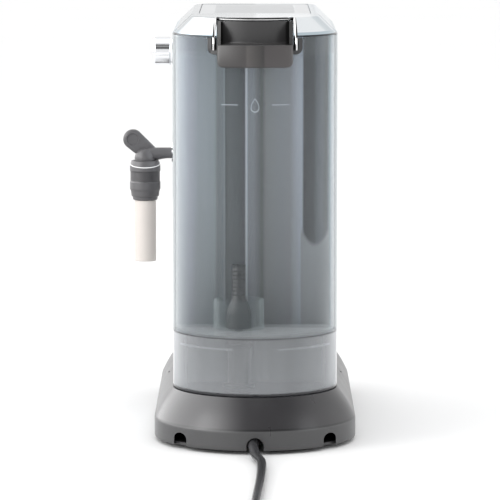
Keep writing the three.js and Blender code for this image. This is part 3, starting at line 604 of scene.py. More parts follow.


# The dark painted reflection band: its place, half width and the height where its rounded foot ends.
DARK_REFLECTION_PLACE = 0.135  # places and widths across the wall are shares of the body's width
DARK_REFLECTION_HALF = 0.075
DARK_REFLECTION_END = 141 * MM
# Painted reflections: the tones of the tall bands across the wall.
PAINTED_REFLECTION_BANDS = (  # place, red, green, blue
    (0.0, 0.95, 0.95, 0.95), (0.032, 0.9, 0.93, 0.95), (0.046, 0.2, 0.34, 0.38),
    (0.06, 0.01, 0.01, 0.015), (0.095, 0.13, 0.145, 0.16), (0.12, 0.09, 0.1, 0.115),
    (0.146, 0.012, 0.015, 0.02), (0.204, 0.01, 0.012, 0.015), (0.213, 0.5, 0.54, 0.6),
    (0.245, 0.46, 0.48, 0.51), (0.288, 0.29, 0.29, 0.3), (0.336, 0.28, 0.29, 0.3),
    (0.433, 0.23, 0.235, 0.23), (0.458, 0.07, 0.08, 0.07), (0.482, 0.15, 0.16, 0.16),
    (0.506, 0.25, 0.26, 0.28), (0.543, 0.25, 0.26, 0.28), (0.548, 0.62, 0.64, 0.66),
    (0.556, 0.62, 0.64, 0.66), (0.563, 0.02, 0.02, 0.03), (0.603, 0.05, 0.06, 0.065),
    (0.652, 0.09, 0.1, 0.1), (0.68, 0.04, 0.05, 0.05), (0.686, 0.34, 0.37, 0.38),
    (0.692, 0.18, 0.21, 0.22), (0.728, 0.2, 0.22, 0.22), (0.745, 0.36, 0.4, 0.41),
    (0.845, 0.39, 0.42, 0.44), (0.894, 0.54, 0.55, 0.61), (0.942, 0.74, 0.77, 0.81),
    (1.0, 0.95, 0.96, 0.97),
)


def wall_panel():
    """Satin panel behind the tank, with tall bands of darker and lighter grey painted across its width as
    painted reflections, one of which ends in a rounded foot, and painted shade that darkens it towards the
    bottom."""
    finish = Finish("wall_panel", "body_metal", Specular_IOR_Level=0.4)
    across = (finish.axis("X") - MID_X) / (2 * BODY_HALF) + 0.5
    from_stripe = abs(across - DARK_REFLECTION_PLACE) / DARK_REFLECTION_HALF
    end_height = DARK_REFLECTION_END + from_stripe * from_stripe * 9 * MM
    below = finish.fade(finish.axis("Z"), end_height + 3 * MM, end_height - 3 * MM)
    painted_reflection_bands = finish.ramp(across, *PAINTED_REFLECTION_BANDS)
    tone = finish.blend(below * (from_stripe < 1.15), painted_reflection_bands, shade(0.36, 0.37, 0.375))
    streak = finish.noise(1.2 * MM, stretch=(1, 1, 60), detail=4)
    height = finish.axis("Z") / BODY_TOP
    # Painted shade: the wall darker towards the bottom, lighter towards its top.
    painted_height_shade = finish.ramp(height * 0.9 + streak * 0.1, (0.25, 0.53, 0.56, 0.58), (0.95, 1.13, 1.21, 1.30))
    finish.set("Base Color", finish.blend(1.0, tone, painted_height_shade, "MULTIPLY"))
    finish.set("Roughness", 0.32 + streak * 0.2)
    finish.bump(streak, 0.02 * MM)
    return finish


def circuit_board():
    """Green board with lighter tracks along two directions and small bright pads."""
    finish = Finish("circuit_board", "board", Specular_IOR_Level=0.5)
    where = finish.place()
    tracks = finish.node("ShaderNodeTexBrick", inputs={"Vector": where, "Scale": 160.0, "Mortar Size": 0.05})
    pads = finish.node("ShaderNodeTexVoronoi", inputs={"Vector": where, "Scale": 260.0})
    base = finish.blend(tracks, shade(0.05, 0.20, 0.09), shade(0.02, 0.11, 0.05))
    finish.set("Base Color", finish.blend(pads < 0.16, base, shade(0.75, 0.72, 0.62)))
    finish.set("Roughness", 0.35 + pads * 0.2)
    finish.bump(pads < 0.16, 0.1 * MM)
    return finish


def frother_plastic():
    """The collar's dark plastic, with a thin pale ring near its top, a painted highlight of a polished ring,
    and a darker grip band.
    """
    finish = moulded("frother_plastic", "dark_plastic", shade(0.085, 0.083, 0.087), 0.42)
    height = finish.axis("Z")
    top = high("frother_collar")[2]
    # Painted highlight: a thin pale ring near the top, standing for the glint of a polished ring.
    sag = (finish.axis("Y") - middle("frother_collar")[1]) * 0.2
    ring = (abs(height + sag - (top - 2.4 * MM)) < 0.4 * MM)
    band = (abs(height - (top - 12 * MM)) < 4.2 * MM)
    dark = finish.blend(band, shade(0.090, 0.088, 0.092), shade(0.048, 0.046, 0.049))
    finish.set("Base Color", finish.blend(ring, dark, shade(0.8, 0.8, 0.8)))
    return finish


def base_finish():
    """The base's satin plastic, painted darker on the slope than on the paler upright rim as painted shade
    and light, with a dark line of painted shade along the crease where they meet.
    """
    finish = moulded("base_plastic", "dark_plastic", shade(0.030, 0.029, 0.031), 0.30)
    height = finish.axis("Z")
    speck = finish.noise(0.35 * MM, detail=2)
    # Painted light and shade: the same plastic darker on the slope than on the upright rim.
    slope = finish.blend(speck, shade(0.025, 0.024, 0.026), shade(0.034, 0.033, 0.036))
    rim = finish.blend(speck, shade(0.050, 0.050, 0.051), shade(0.064, 0.064, 0.066))
    painted_light_and_shade = finish.blend(height < RIM_HIGH, slope, rim)
    # Painted shade: a dark line along the crease above the rim.
    line = abs(height - (RIM_HIGH + 0.6 * MM)) < 0.7 * MM
    finish.set("Base Color", finish.blend(line, painted_light_and_shade, shade(0.014, 0.014, 0.015)))
    return finish


def handle_finish():
    """The handle's plastic: broad upright painted sheens on its front plate, painted shade in the pocket
    whose sides fall to black, and the strip round the notch painted near-black as painted shade."""
    finish = moulded("handle_plastic", "dark_plastic", shade(0.040, 0.037, 0.038), 0.33, grain=0.3 * MM)
    speck = finish.noise(0.3 * MM, detail=2)
    across = (finish.axis("X") - MID_X) / (2 * HANDLE_HALF) + 0.5
    # Painted sheen: upright bands of lighter and darker tone across the front plate.
    sheen = finish.ramp(across, (0.0, 0.066, 0.060, 0.060), (0.36, 0.058, 0.052, 0.053),
                        (0.39, 0.028, 0.026, 0.026), (0.60, 0.078, 0.072, 0.070), (0.63, 0.045, 0.041, 0.041),
                        (1.0, 0.042, 0.039, 0.038))
    # Painted shade: the pocket's sides fall to black.
    pocket = finish.ramp(across, (0.0, 0.002), (0.085, 0.002), (0.10, 0.036, 0.035, 0.036),
                         (0.92, 0.036, 0.035, 0.036), (0.935, 0.002), (1.0, 0.002))
    inside = finish.axis("Z") > BODY_TOP - 5.2 * MM
    # Painted shade: the strip round the notch is near-black.
    shade_strip = abs(finish.axis("X") - MID_X) > HANDLE_HALF + 0.4 * MM
    mixed = finish.blend(shade_strip, finish.blend(inside, sheen, pocket), shade(0.010, 0.010, 0.011))
    finish.set("Base Color", finish.blend(speck * 0.3, mixed, shade(0.03, 0.03, 0.03)))
    return finish


def lid_finish():
    """Polished lid with painted reflections: pale facets, painted darker and bluer towards their outer edges
    and darker on the brightly lit side, a painted bluish reflection band along its rim and a thin dark line
    of painted shadow at its foot."""
    finish = metal("lid_polished", "steel", shade(0.83, 0.86, 0.88), 0.16, stretch=(20, 1, 1), size=0.3 * MM)
    height = finish.axis("Z")
    out = abs(finish.axis("X") - MID_X)
    rear = finish.axis("Y") - REAR_Y
    lean = TOP_LEAN / (TOP - BODY_TOP)
    from_side = BODY_HALF - (height - BODY_TOP) * lean - out
    # Painted reflection: the facets darken and turn bluer towards their outer edges.
    painted_edge_reflection = finish.ramp(from_side * 100, (0.0, 0.66, 0.71, 0.75), (0.2, 0.47, 0.53, 0.57),
                       (0.55, 0.62, 0.67, 0.70), (0.68, 0.76, 0.79, 0.81), (1.0, 0.79, 0.82, 0.84))
    # Painted shade: the side that the brightest light falls on is painted a flat darker grey.
    lit_side = finish.ramp((finish.axis("X") - MID_X) * 10 + 0.5, (0.48, 0.0), (0.52, 1.0))
    painted_lit_side_shade = finish.blend(lit_side, painted_edge_reflection, shade(0.50, 0.525, 0.54))
    # Painted reflection: a bluish band along the lid's lower edge.
    band = finish.blend(height < BODY_TOP + 3.2 * MM, painted_lit_side_shade, shade(0.45, 0.53, 0.58))
    # Painted shadow: a thin dark line at the lid's foot, where it meets the tank.
    gap = (height < BODY_TOP + 1.3 * MM) * (rear > 0)
    finish.set("Base Color", finish.blend(gap, band, shade(0.03, 0.035, 0.04)))
    return finish


def trim_finish():
    """Polished arch with painted reflections: a bright stripe painted along each leg between darker edges;
    its top is painted dark above and bright below.
    """
    finish = metal("trim_chrome", "polished", shade(0.86, 0.87, 0.89), 0.12, size=0.3 * MM, depth=0.001 * MM)
    out = abs(finish.axis("X") - MID_X)
    centre = HANDLE_HALF + 1.4 * MM + (finish.axis("Z") < BODY_TOP) * (1.2 * MM)
    across_leg = (out - centre) / (2.4 * MM) + 0.5
    # Painted reflection: a bright stripe along each leg between dark edges.
    leg = finish.ramp(across_leg, (0.0, 0.02), (0.2, 0.03), (0.3, 0.85), (0.72, 0.8), (0.8, 0.03))
    up_bar = (finish.axis("Z") - TOP) / (2.4 * MM) + 1.0
    # Painted reflection: the top bar dark above and bright below.
    bar = finish.ramp(up_bar, (0.0, 0.8), (0.50, 0.75), (0.60, 0.04), (1.0, 0.03))
    finish.set("Base Color", finish.blend(out < centre - 3 * MM, leg, bar))
    return finish


ALL_FINISHES = (
    base_finish(), handle_finish(), lid_finish(), trim_finish(), frother_plastic(),
    smoke_clear(), collar_clear(), wall_panel(), circuit_board(),
    moulded("dark_plastic", "dark_plastic", shade(0.030, 0.030, 0.031), 0.33, grain=0.3 * MM),
    moulded("filter_plastic", "dark_plastic", shade(0.010, 0.012, 0.013), 0.5, grain=0.3 * MM),
    moulded("wand_plastic", "dark_plastic", shade(0.085, 0.083, 0.087), 0.42),
    moulded("sleeve_satin", "polished", shade(0.68, 0.63, 0.59), 0.55, 0.4 * MM, depth=0.01 * MM, wear=0.03),
    moulded("soft_rubber", "rubber", shade(0.022, 0.022, 0.023), 0.75, grain=0.6 * MM, depth=0.05 * MM),
    moulded("cord_sheath", "cord_rubber", shade(0.034, 0.034, 0.037), 0.20, grain=0.5 * MM),
    moulded("float_red", "red_plastic", shade(0.46, 0.045, 0.03), 0.3, grain=0.5 * MM),
    moulded("hose_milky", "hose", shade(0.62, 0.63, 0.60), 0.4, grain=0.8 * MM),
    moulded("mark_white", "clear_plastic", shade(0.36, 0.40, 0.43), 0.5, grain=0.2 * MM),
    metal("chrome", "polished", shade(0.86, 0.87, 0.89), 0.09, size=0.3 * MM, depth=0.001 * MM),
    metal("brushed_steel", "steel", shade(0.68, 0.69, 0.70), 0.28, stretch=(30, 1, 1), size=0.25 * MM),
    metal("body_metal", "body_metal", shade(0.52, 0.54, 0.56), 0.30, stretch=(1, 1, 40), size=0.3 * MM),
    metal("aluminium", "aluminium", shade(0.60, 0.61, 0.62), 0.45, size=1.5 * MM, depth=0.08 * MM),
    metal("brass", "brass", shade(0.72, 0.52, 0.22), 0.25, stretch=(1, 12, 12)),
)
FINISHES = {finish.name: finish for finish in ALL_FINISHES}


def dress(made, finish, *nodes, stands_for=True):
    """Gives a new piece its finish and its body, and lets it stand for its nodes."""
    made.data.materials.clear()
    made.data.materials.append(FINISHES[finish].material)
    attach(made, BODY_OF[nodes[0]])
    if stands_for:
        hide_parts(*nodes)
    return made


# ------------------------------------------------------------------ cord and plug
def add_cord():
    """A round sheath of constant radius along the route, the coil and the stretch into the plug."""
    whole = np.vstack([CORD_ROUTE, coil_turns()[3:-1:3], CORD_TAIL])
    path = smooth_path(whole, 6)
    cord = swept("cord", path, CORD_RADIUS, sides=18)
    dress(cord, "cord_sheath", "power_cord", "cord_coil", "cord_tail")
    return cord, path


def add_gland():
    """A tapered sleeve with ribs: its radius falls along it and dips at every groove."""
    start, end = low("cord_gland")[1], high("cord_gland")[1]
    along = np.linspace(0, 1, 81)
    radius = np.interp(along, [0, 0.18, 0.2, 1], [5.1, 5.1, 4.9, 4.1]) * MM
    radius = radius - 0.45 * MM * (np.sin(along * 2 * pi * 7) > 0.55) * (along > 0.25)
    profile = np.column_stack([radius, start + along * (end - start)])
    centre = middle("cord_gland") * (1, 0, 1)
    gland = turned("gland", profile, centre, axis="y", sides=40)
    return dress(gland, "soft_rubber", "cord_gland")


def add_plug(tip):
    """A moulded plug: rounded-box sections along its length, narrowing into a neck, with two
    flat blades and a round earth pin."""
    lo, hi = ends("plug")
    blades_start = hi[1] - 19 * MM
    half_wide, half_high = (hi[0] - lo[0]) / 2, (hi[2] - lo[2]) / 2
    along = np.array([0, 0.02, 0.12, 0.2, 0.28, 0.31, 0.36, 0.5, 0.7, 0.9, 0.96, 1.0])
    wide = np.array([0.30, 0.42, 0.44, 0.46, 0.5, 0.62, 0.9, 1.0, 0.96, 1.0, 0.98, 0.9])
    tall = np.array([0.34, 0.48, 0.5, 0.52, 0.56, 0.68, 0.92, 1.0, 0.94, 1.0, 0.98, 0.9])
    fine = np.linspace(0, 1, 60)
    wide, tall = np.interp(fine, along, wide), np.interp(fine, along, tall)
    angle = np.linspace(0, 2 * pi, 48, endpoint=False)
    power = 0.45
    across = np.sign(np.cos(angle)) * abs(np.cos(angle)) ** power
    upward = np.sign(np.sin(angle)) * abs(np.sin(angle)) ** power
    x = tip[0] + half_wide * wide[:, None] * across
    z = (lo[2] + hi[2]) / 2 + half_high * tall[:, None] * upward
    y = lo[1] + fine[:, None] * (blades_start - lo[1]) + 0 * x
    shell = piece("plug_shell", np.stack([x, y, z], axis=-1))
    dress(shell, "cord_sheath", "plug")
    blade = rounded([[-0.75, -3], [0.75, -3], [0.75, 3.1], [-0.75, 3.1]], 0.25, closed=True) * MM
    blade_rows = ((-1, 1), (14.8, 1), (16, 0.6))  # reach in mm, and share of the full section
    pins = []
    for side in (-6.3, 6.3):
        at = (tip[0] + side * MM, tip[2] + 3.1 * MM)
        rows = [laid(blade * share + at, blades_start + reach * MM, 1) for reach, share in blade_rows]
        pins.append(piece(f"blade_{'left' if side < 0 else 'right'}", np.stack(rows)))
    profile = np.array([[2.3, -1], [2.3, 16.5], [1.5, 18.6]]) * MM + (0, blades_start)
    pins.append(turned("earth_pin", profile, (tip[0], 0, tip[2] - 5 * MM), axis="y", sides=32))
    for pin in pins:
        dress(pin, "brass", "plug", stands_for=False)
    return [shell, *pins]


add_camera()
cord, cord_path = add_cord()
gland = add_gland()
plug = add_plug(CORD_TAIL[-1])


# ------------------------------------------------------------------ base and drip tray
BASE_WALL = 2.5 * MM


def base_profile(inset, bottom, top):
    """Upright rim, an eased crease, and a slope to the top that bulges slightly outwards."""
    share = np.linspace(0, 1, 13)[1:]
    slope_inset = -FLARE + FLARE * share - 1.1 * MM * np.sin(pi * share)
    slope = np.column_stack([slope_inset, RIM_HIGH + (BASE_TOP - RIM_HIGH) * share])
    corners = [[-FLARE + 0.2 * MM, RIM_LOW], [-FLARE, RIM_LOW + MM], [-FLARE, RIM_HIGH], slope[1]]
    outer = np.vstack([rounded(corners, 1.6 * MM), slope[2:]])
    outer[:, 0] += inset
    kept = (outer[:, 1] > bottom + 0.05 * MM) & (outer[:, 1] < top - 0.05 * MM)
    edge = [[np.interp(z, outer[:, 1], outer[:, 0]), z] for z in (bottom, top)]
    return np.vstack([edge[:1], outer[kept], edge[1:]])


def arch(x, half, top):
    """A cutting tool: an upright arch outline carried through the rear rim."""
    turn = np.linspace(0, pi, 25)
    curve = np.column_stack([half * np.cos(turn), top - half + half * np.sin(turn)])
    outline = np.vstack([[half, -5 * MM], curve, [-half, -5 * MM]]) + (MID_X + x, 0)
    return piece("arch", np.stack([laid(outline, REAR_Y + y, 1) for y in (20 * MM, BASE_HALF + 5 * MM)]))


def add_base():
    """Flared rear housing with a long tongue under the tray, hollow below, with three arched notches."""
    housing = stack("base", dense(base_profile(0, RIM_LOW, BASE_TOP), 3 * MM), BASE_FRONT, BASE_CORNER)
    hollow = stack("hollow", base_profile(BASE_WALL, RIM_LOW, BASE_TOP - BASE_WALL), BASE_FRONT, BASE_CORNER)
    edge = BASE_WALL - FLARE
    mouth = stack("mouth", [[edge, RIM_LOW - 2 * MM], [edge, RIM_LOW + MM]], BASE_FRONT, BASE_CORNER)
    for space in (hollow, mouth):
        cut(space, beyond(COLUMN_FRONT + 0.5 * MM), operation="INTERSECT")
    over_tongue = block("ahead", (-1, -1, RIM_LOW + 5.5 * MM), (1, COLUMN_FRONT - 2 * MM, 1))
    top, vent_x, vent_half = 12.4 * MM, BODY_HALF * 0.895, 4.5 * MM
    arches = [arch(0, 6.2 * MM, top), arch(vent_x, vent_half, top), arch(-vent_x, vent_half, top)]
    pipe = drill(5.3 * MM, 20 * MM, 60 * MM, middle("inlet_spigot") * (1, 1, 0))
    hose = drill(5.5 * MM, 20 * MM, 60 * MM, (MID_X, middle("pump")[1], 0))
    cut(housing, over_tongue, hollow, mouth, *arches, pipe, hose)
    dress(housing, "base_plastic", "base_housing")


def add_tray():
    """Drip tray: the base's front outline as an open box, cut off square at its back."""
    lo, hi = ends("drip_tray")
    outer = base_profile(0, lo[2], hi[2])
    inner = base_profile(BASE_WALL, lo[2] + BASE_WALL, hi[2])[::-1]
    lip = rounded([outer[-2], outer[-1], inner[0], inner[1]], 0.5 * MM)
    tray = stack("tray", np.vstack([outer[:-1], lip[1:-1], inner[1:]]), BASE_FRONT, BASE_CORNER)
    cut(tray, beyond(hi[1]))
    reach = BODY_HALF + 6 * MM
    back = block("tray_back", (MID_X - reach, hi[1] - BASE_WALL, lo[2] + MM),
                 (MID_X + reach, hi[1] - 0.05 * MM, hi[2] - 5 * MM))
    dress(cut(tray, back, operation="UNION"), "base_plastic", "drip_tray")


def add_grid():
    """Steel grid: a plate with rounded rim, eight long slots and a hole for the float."""
    lo, hi = ends("drip_grid")
    inset = BODY_HALF - (hi[0] - lo[0]) / 2
    inner = inset + 6 * MM
    profile = rounded([[inner, lo[2]], [inset, lo[2]], [inset, hi[2]], [inner, hi[2]]], 0.8 * MM)
    grid = stack("grid", profile, BASE_FRONT, BASE_CORNER)
    slot = rounded([[-44, 0], [44, 0], [44, 4.2], [-44, 4.2]], 2.1, closed=True) * MM
    first, step = BASE_FRONT + 18 * MM, 9 * MM
    slots = [upright("slot", slot + (MID_X, first + i * step), (0, 0.1)) for i in range(8)]
    cut(grid, beyond(hi[1]), *slots, drill(6.5 * MM, 0, 0.1, middle("tray_float") * (1, 1, 0)))
    dress(grid, "brushed_steel", "drip_grid")


add_base()
add_tray()
add_grid()


# ------------------------------------------------------------------ column, head and top
def wall_ring(name, front, corner, bottom, top):
    """An upright shell: outer and inner outlines joined by eased edges, and the tool that ends it behind."""
    profile = rounded([[0, bottom], [0, top], [WALL, top], [WALL, bottom]], 0.5 * MM, closed=True)
    return stack(name, profile, front, corner, wrap=True), beyond(high("rear_wall")[1] - MM)


def add_column():
    """Upright shell round the pump and the boards, open behind."""
    lo, hi = ends("column_shell")
    shell, behind = wall_ring("column", lo[1], 10 * MM, lo[2], hi[2])
    dress(cut(shell, behind), "body_metal", "column_shell")


def add_head():
    """Head with holes for three buttons, the steam stem and the wand's arm."""
    lo, hi = ends("head_shell")
    shell, behind = wall_ring("head", lo[1], HEAD_CORNER, lo[2], hi[2])
    tools = [behind]
    for name in BUTTONS:
        tools.append(drill(8.3 * MM, lo[1] - 0.01, lo[1] + 0.01, middle(name) * (1, 0, 1), "y", 72))
    side = MID_X + BODY_HALF
    arm = middle("wand_feed_pipe") * (0, 1, 0) + middle("wand_bush") * (0, 0, 1)
    for at, radius in ((middle("steam_stem") * (0, 1, 1), 3.4 * MM), (arm, 4.7 * MM)):
        tools.append(drill(radius, side - 0.01, side + 0.01, at, "x", 72))
    cut(shell, *tools)
    dress(shell, "body_metal", "head_shell")


def top_profile(inset, bottom, sunk=0.0):
    """The top's outline: an upright edge, if it starts below the body's top, a lean and an eased flat.
    Sunk lowers all but its start."""
    lean = TOP_LEAN / (TOP - BODY_TOP)
    start = [inset + lean * max(0.0, bottom - BODY_TOP), bottom]
    edge = [[inset, BODY_TOP - sunk]] if bottom < BODY_TOP - sunk else []
    high_inset = inset + TOP_LEAN
    return rounded([start, *edge, [high_inset, TOP - sunk], [high_inset + 9 * MM, TOP - sunk]], 1.2 * MM)


def add_top():
    """Chamfered top frame with a seat for the cup tray."""
    lo, hi = ends("top_frame")
    skin = stack("top", top_profile(0, lo[2]), HEAD_FRONT, HEAD_CORNER)
    hollow = stack("hollow", top_profile(WALL, lo[2] - 20 * MM, 5.5 * MM), HEAD_FRONT, HEAD_CORNER)
    cut(hollow, beyond(hi[1] - WALL))
    tray_lo, tray_hi = ends("cup_tray")
    gap = 0.3 * MM
    seat = block("seat", (*(tray_lo[:2] - gap), tray_lo[2] - 0.1 * MM), (*(tray_hi[:2] + gap), 1))
    cut(skin, hollow, seat, beyond(hi[1]))
    dress(skin, "lid_polished", "top_frame")


def add_cup_tray():
    """Cup tray: a thin plate with eased edges and a row of long round-ended slots."""
    lo, hi = ends("cup_tray")
    centre = middle("cup_tray")[:2]
    half = (hi - lo)[:2] / 2
    corners = rounded([[-1, -1], [1, -1], [1, 1], [-1, 1]], 0.08, steps=8, closed=True)
    levels = np.array([(2.0, 0), (0.3, 0), (0, 0.3), (0, 1.3), (0.3, 1.6), (2.0, 1.6)]) * MM
    rows = [laid(centre + corners * (half - inset), lo[2] + rise) for inset, rise in levels]
    plate = piece("cup_plate", np.stack(rows))
    slot = rounded([[-30, 0], [30, 0], [30, 2], [-30, 2]], 1, closed=True) * MM
    places = np.arange(lo[1] + 14 * MM, hi[1] - 14 * MM, 9 * MM)
    cut(plate, *[upright("slot", slot + (centre[0], y), (lo[2] - 0.01, hi[2] + 0.01)) for y in places])
    dress(plate, "brushed_steel", "cup_tray")


def add_rear_wall():
    """Panel behind the tank: its rear face is a row of shallow upright pleats, a sum of two waves
    across the width, flattened near its edges."""
    lo, hi = ends("rear_wall")
    x = np.linspace(lo[0], hi[0], 241)
    across = (x - MID_X) / BODY_HALF
    wave = 0.25 * np.sin(across * 11) + 0.2 * np.sin(across * 23 + 1)
    fade = np.clip((1 - abs(across)) * 6, 0, 1)
    rear = hi[1] - (0.6 - wave * fade) * MM
    front = np.full_like(x, lo[1] + 0.2 * MM)
    outline = np.vstack([np.column_stack([x, rear]), np.column_stack([x, front])[::-1]])
    panel = upright("rear_panel", outline, (lo[2], lo[2] + MM, hi[2] - MM, hi[2]))
    dress(panel, "wall_panel", "rear_wall")


add_column()
add_head()
add_top()
add_cup_tray()
add_rear_wall()


# ------------------------------------------------------------------ water tank
TANK_WALL = 2.2 * MM
NOTCH_HALF = 34 * MM
NOTCH_LOW = BODY_TOP - 12.3 * MM


def add_tank():
    """One closed shell: floor, eased inner foot, inner wall, rim, outer wall, and the hollow skirt."""
    lo, hi = ends("water_tank")
    skin = 0.25 * MM
    inner = skin + TANK_WALL
    profile = rounded([
        [inner + 9 * MM, TANK_FLOOR], [inner, TANK_FLOOR], [inner, hi[2]], [skin, hi[2]], [skin, lo[2]],
        [inner, lo[2]], [inner, TANK_FLOOR - TANK_WALL], [inner + 9 * MM, TANK_FLOOR - TANK_WALL],
    ], 0.9 * MM)
    tank = stack("tank", dense(profile, 11 * MM), TANK_FRONT - skin, 4 * MM)
    notch = block("notch", (MID_X - NOTCH_HALF, REAR_Y + 20 * MM, NOTCH_LOW), (MID_X + NOTCH_HALF, 1, 1))
    outlet = drill(3 * MM, 0.03, 0.1, middle("valve_poppet") * (1, 1, 0), sides=40)
    cut(tank, notch, outlet, sharp=30)
    dress(tank, "smoke_clear", "water_tank")


def add_collar():
    """Clear collar round the outlet, with an eased rim."""
    lo, hi = ends("valve_collar")
    outer = (hi - lo)[0] / 2
    inner = outer - WALL
    section = rounded([[inner, lo[2]], [outer, lo[2]], [outer, hi[2]], [inner, hi[2]]], 0.6 * MM, closed=True)
    collar = turned("outlet_collar", section, middle("valve_collar") * (1, 1, 0), sides=96, loop=True)
    dress(collar, "collar_clear", "valve_collar")


def add_filter():
    """Suction filter: a slim bell whose waist follows a smooth curve, with fine rings down its neck."""
    lo, hi = ends("suction_filter")
    outer, neck = (hi - lo)[0] / 2, 5 * MM
    height = np.linspace(0, 1, 121)
    narrowing = s_curve((height - 0.22) / 0.3)
    rings = 0.25 * MM * (np.sin(height * 2 * pi * 16) > 0) * (height > 0.5)
    radius = neck + (outer - neck) * (1 - narrowing) - rings
    shell = np.column_stack([radius, lo[2] + height * (hi[2] - lo[2])])
    inner = [[1.2 * MM, hi[2]], [1.2 * MM, hi[2] - 4 * MM], [4 * MM, hi[2] - 4 * MM],
             [4 * MM, lo[2] + 20 * MM], [outer - 2 * MM, lo[2]]]
    centre = middle("suction_filter") * (1, 1, 0)
    bell = turned("suction_bell", np.vstack([shell, inner]), centre, sides=64, loop=True)
    dress(bell, "filter_plastic", "suction_filter")


def on_tank(outline, centre, *steps):
    """Rows of an (x, z) outline on the tank's round side: at each step it is drawn in about its centre
    by a share, and laid at a radius."""
    rows = []
    for share, radius in steps:
        x, z = (centre + (outline - centre) * share).T
        rows.append(round_tank(x, radius, z))
    return np.stack(rows)


def add_fill_mark():
    """Raised fill line on the tank: a plain dash on each side of a drop. A drop's half width at
    each height is sin(t) times sin(t / 2), as t goes round."""
    outer, inner = TANK_HALF + 0.22 * MM, TANK_HALF - MM
    level = BODY_TOP - 47.4 * MM
    dash = rounded([[-6, -0.25], [6, -0.25], [6, 0.25], [-6, 0.25]], 0.2, closed=True) * MM
    parts = []
    for side in (-1, 1):
        centre = np.array([side * 18 * MM, level])
        rows = on_tank(dash + centre, centre, (1, inner), (1, outer - 0.15 * MM), (0.93, outer))
        parts.append(piece("dash", rows))
    turn = np.linspace(0, 2 * pi, 48, endpoint=False)
    centre = np.array([0, level - 0.3 * MM])
    drop = np.column_stack([np.sin(turn) * np.sin(turn / 2) * 3.9, np.cos(turn) * 5.0]) * MM + centre
    rows = on_tank(drop, centre, (1, inner), (1, outer), (0.86, outer), (0.86, inner))
    mark = joined("fill_mark", *parts, piece("drop", rows, wrap_rows=True))
    dress(mark, "mark_white", "water_tank", stands_for=False)


add_tank()
add_collar()
add_filter()
add_fill_mark()


# ------------------------------------------------------------------ tank handle, lid and trim
SHELF_TOP = BODY_TOP - 5 * MM
POCKET_BACK = TANK_HALF - 16 * MM


def handle_plate():
    """Front plate: a rounded rectangle laid round the tank, its edge eased along a quarter circle.
    Extra columns across the flat keep it on the curve."""
    lowest = low("tank_handle")[2]
    outer, inner = TANK_HALF + 4.3 * MM, TANK_HALF + 0.3 * MM
    x = np.linspace(-1, 1, 61)
    corner, edge = 4 * MM, 1.3 * MM
    turn = np.linspace(pi / 2, 0, 7)
    rows = []
    for inset, radius in [(0, inner), *zip(edge * (1 - np.sin(turn)), outer - edge * (1 - np.cos(turn)))]:
        spread = np.sin(x * pi / 2) * (HANDLE_HALF - inset)
        drop = corner - inset
        past = np.clip(abs(spread) - (HANDLE_HALF - corner), 0, None)
        lift = drop - np.sqrt(np.clip(drop ** 2 - np.clip(past, 0, drop) ** 2, 0, None))
        bottom = lowest + inset + lift
        top = np.full_like(spread, SHELF_TOP - inset * 0.4)
        across, up = np.concatenate([spread, spread[::-1]]), np.concatenate([bottom, top])
        rows.append(round_tank(across, radius, up))
    return np.stack(rows)


def strip_faces(name, rows):
    """A plate from rows that run along its bottom and back along its top: sides from row to row, and
    each end closed by faces that join the bottom to the top."""
    count = rows.shape[1]
    points = rows.reshape(-1, 3)
    k = np.arange(count // 2 - 1)
    near = np.column_stack([k, count - 1 - k, count - 2 - k, k + 1])
    far = near[:, ::-1] + (len(rows) - 1) * count
    faces = np.vstack([grid_faces(len(rows), count, False), near, far])
    if volume_of(points - points.mean(axis=0), faces) < 0:
        faces = faces[:, ::-1]
    return shown(name, points, faces.tolist(), 40)


def chamfer_room(inset):
    """Everything inside the chamfered top's outline, moved inwards by inset."""
    leaned = inset + TOP_LEAN
    profile = [[inset, 0.2], [inset, BODY_TOP], [leaned, TOP], [leaned + 4 * MM, TOP]]
    return stack("room", profile, HEAD_FRONT, HEAD_CORNER)


def notch_shade_strip(half, bottom):
    """Dark strip round the tank's notch, a dark piece put there as painted shade for the dark cut edge of the
    clear wall: down one side, round two eased corners and up the other, with a sunk step up to the pocket.
    Its edges are U-shaped loops laid at their radii about the tank's axis."""
    width, corner, reach, edge = 3.3 * MM, 4.5 * MM, 6.5 * MM, 0.5 * MM
    top = BODY_TOP - 0.3 * MM
    turn = np.linspace(pi / 2, 0, 13)

    def u_loop(inset):
        bend = max(corner - inset, 0.3 * MM)
        side = half - inset
        x = side - bend + bend * np.sin(turn)
        z = bottom + inset + bend - bend * np.cos(turn)
        right = np.vstack([[[side, top], [side, (top + bottom + corner) / 2]], np.column_stack([x, z])])
        across = np.linspace(right[-1, 0], -right[-1, 0], 42)[1:-1]
        flat = np.column_stack([across, np.full(40, right[-1, 1])])
        return np.vstack([right, flat, (right * (-1, 1))[::-1]])

    inner, outer, sunk = TANK_HALF - TANK_WALL, TANK_HALF + 1.1 * MM, TANK_HALF - MM
    section = ((0, inner), (0, outer - edge), (edge, outer), (width - edge, outer), (width, outer - edge),
               (width, sunk), (reach, sunk), (reach, inner))
    columns = []
    for inset, radius in section:
        x, z = u_loop(inset).T
        columns.append(round_tank(x, radius, z))
    return piece("shade_strip", np.stack(columns, axis=1))


def ring_box(name, inner, outer, bottom, top, ease, half):
    """A box bent round the tank's axis between two radii and two heights, its long edges eased."""
    corners = [[inner, bottom], [outer, bottom], [outer, top], [inner, top]]
    return around_tank(name, rounded(corners, ease, closed=True), half)


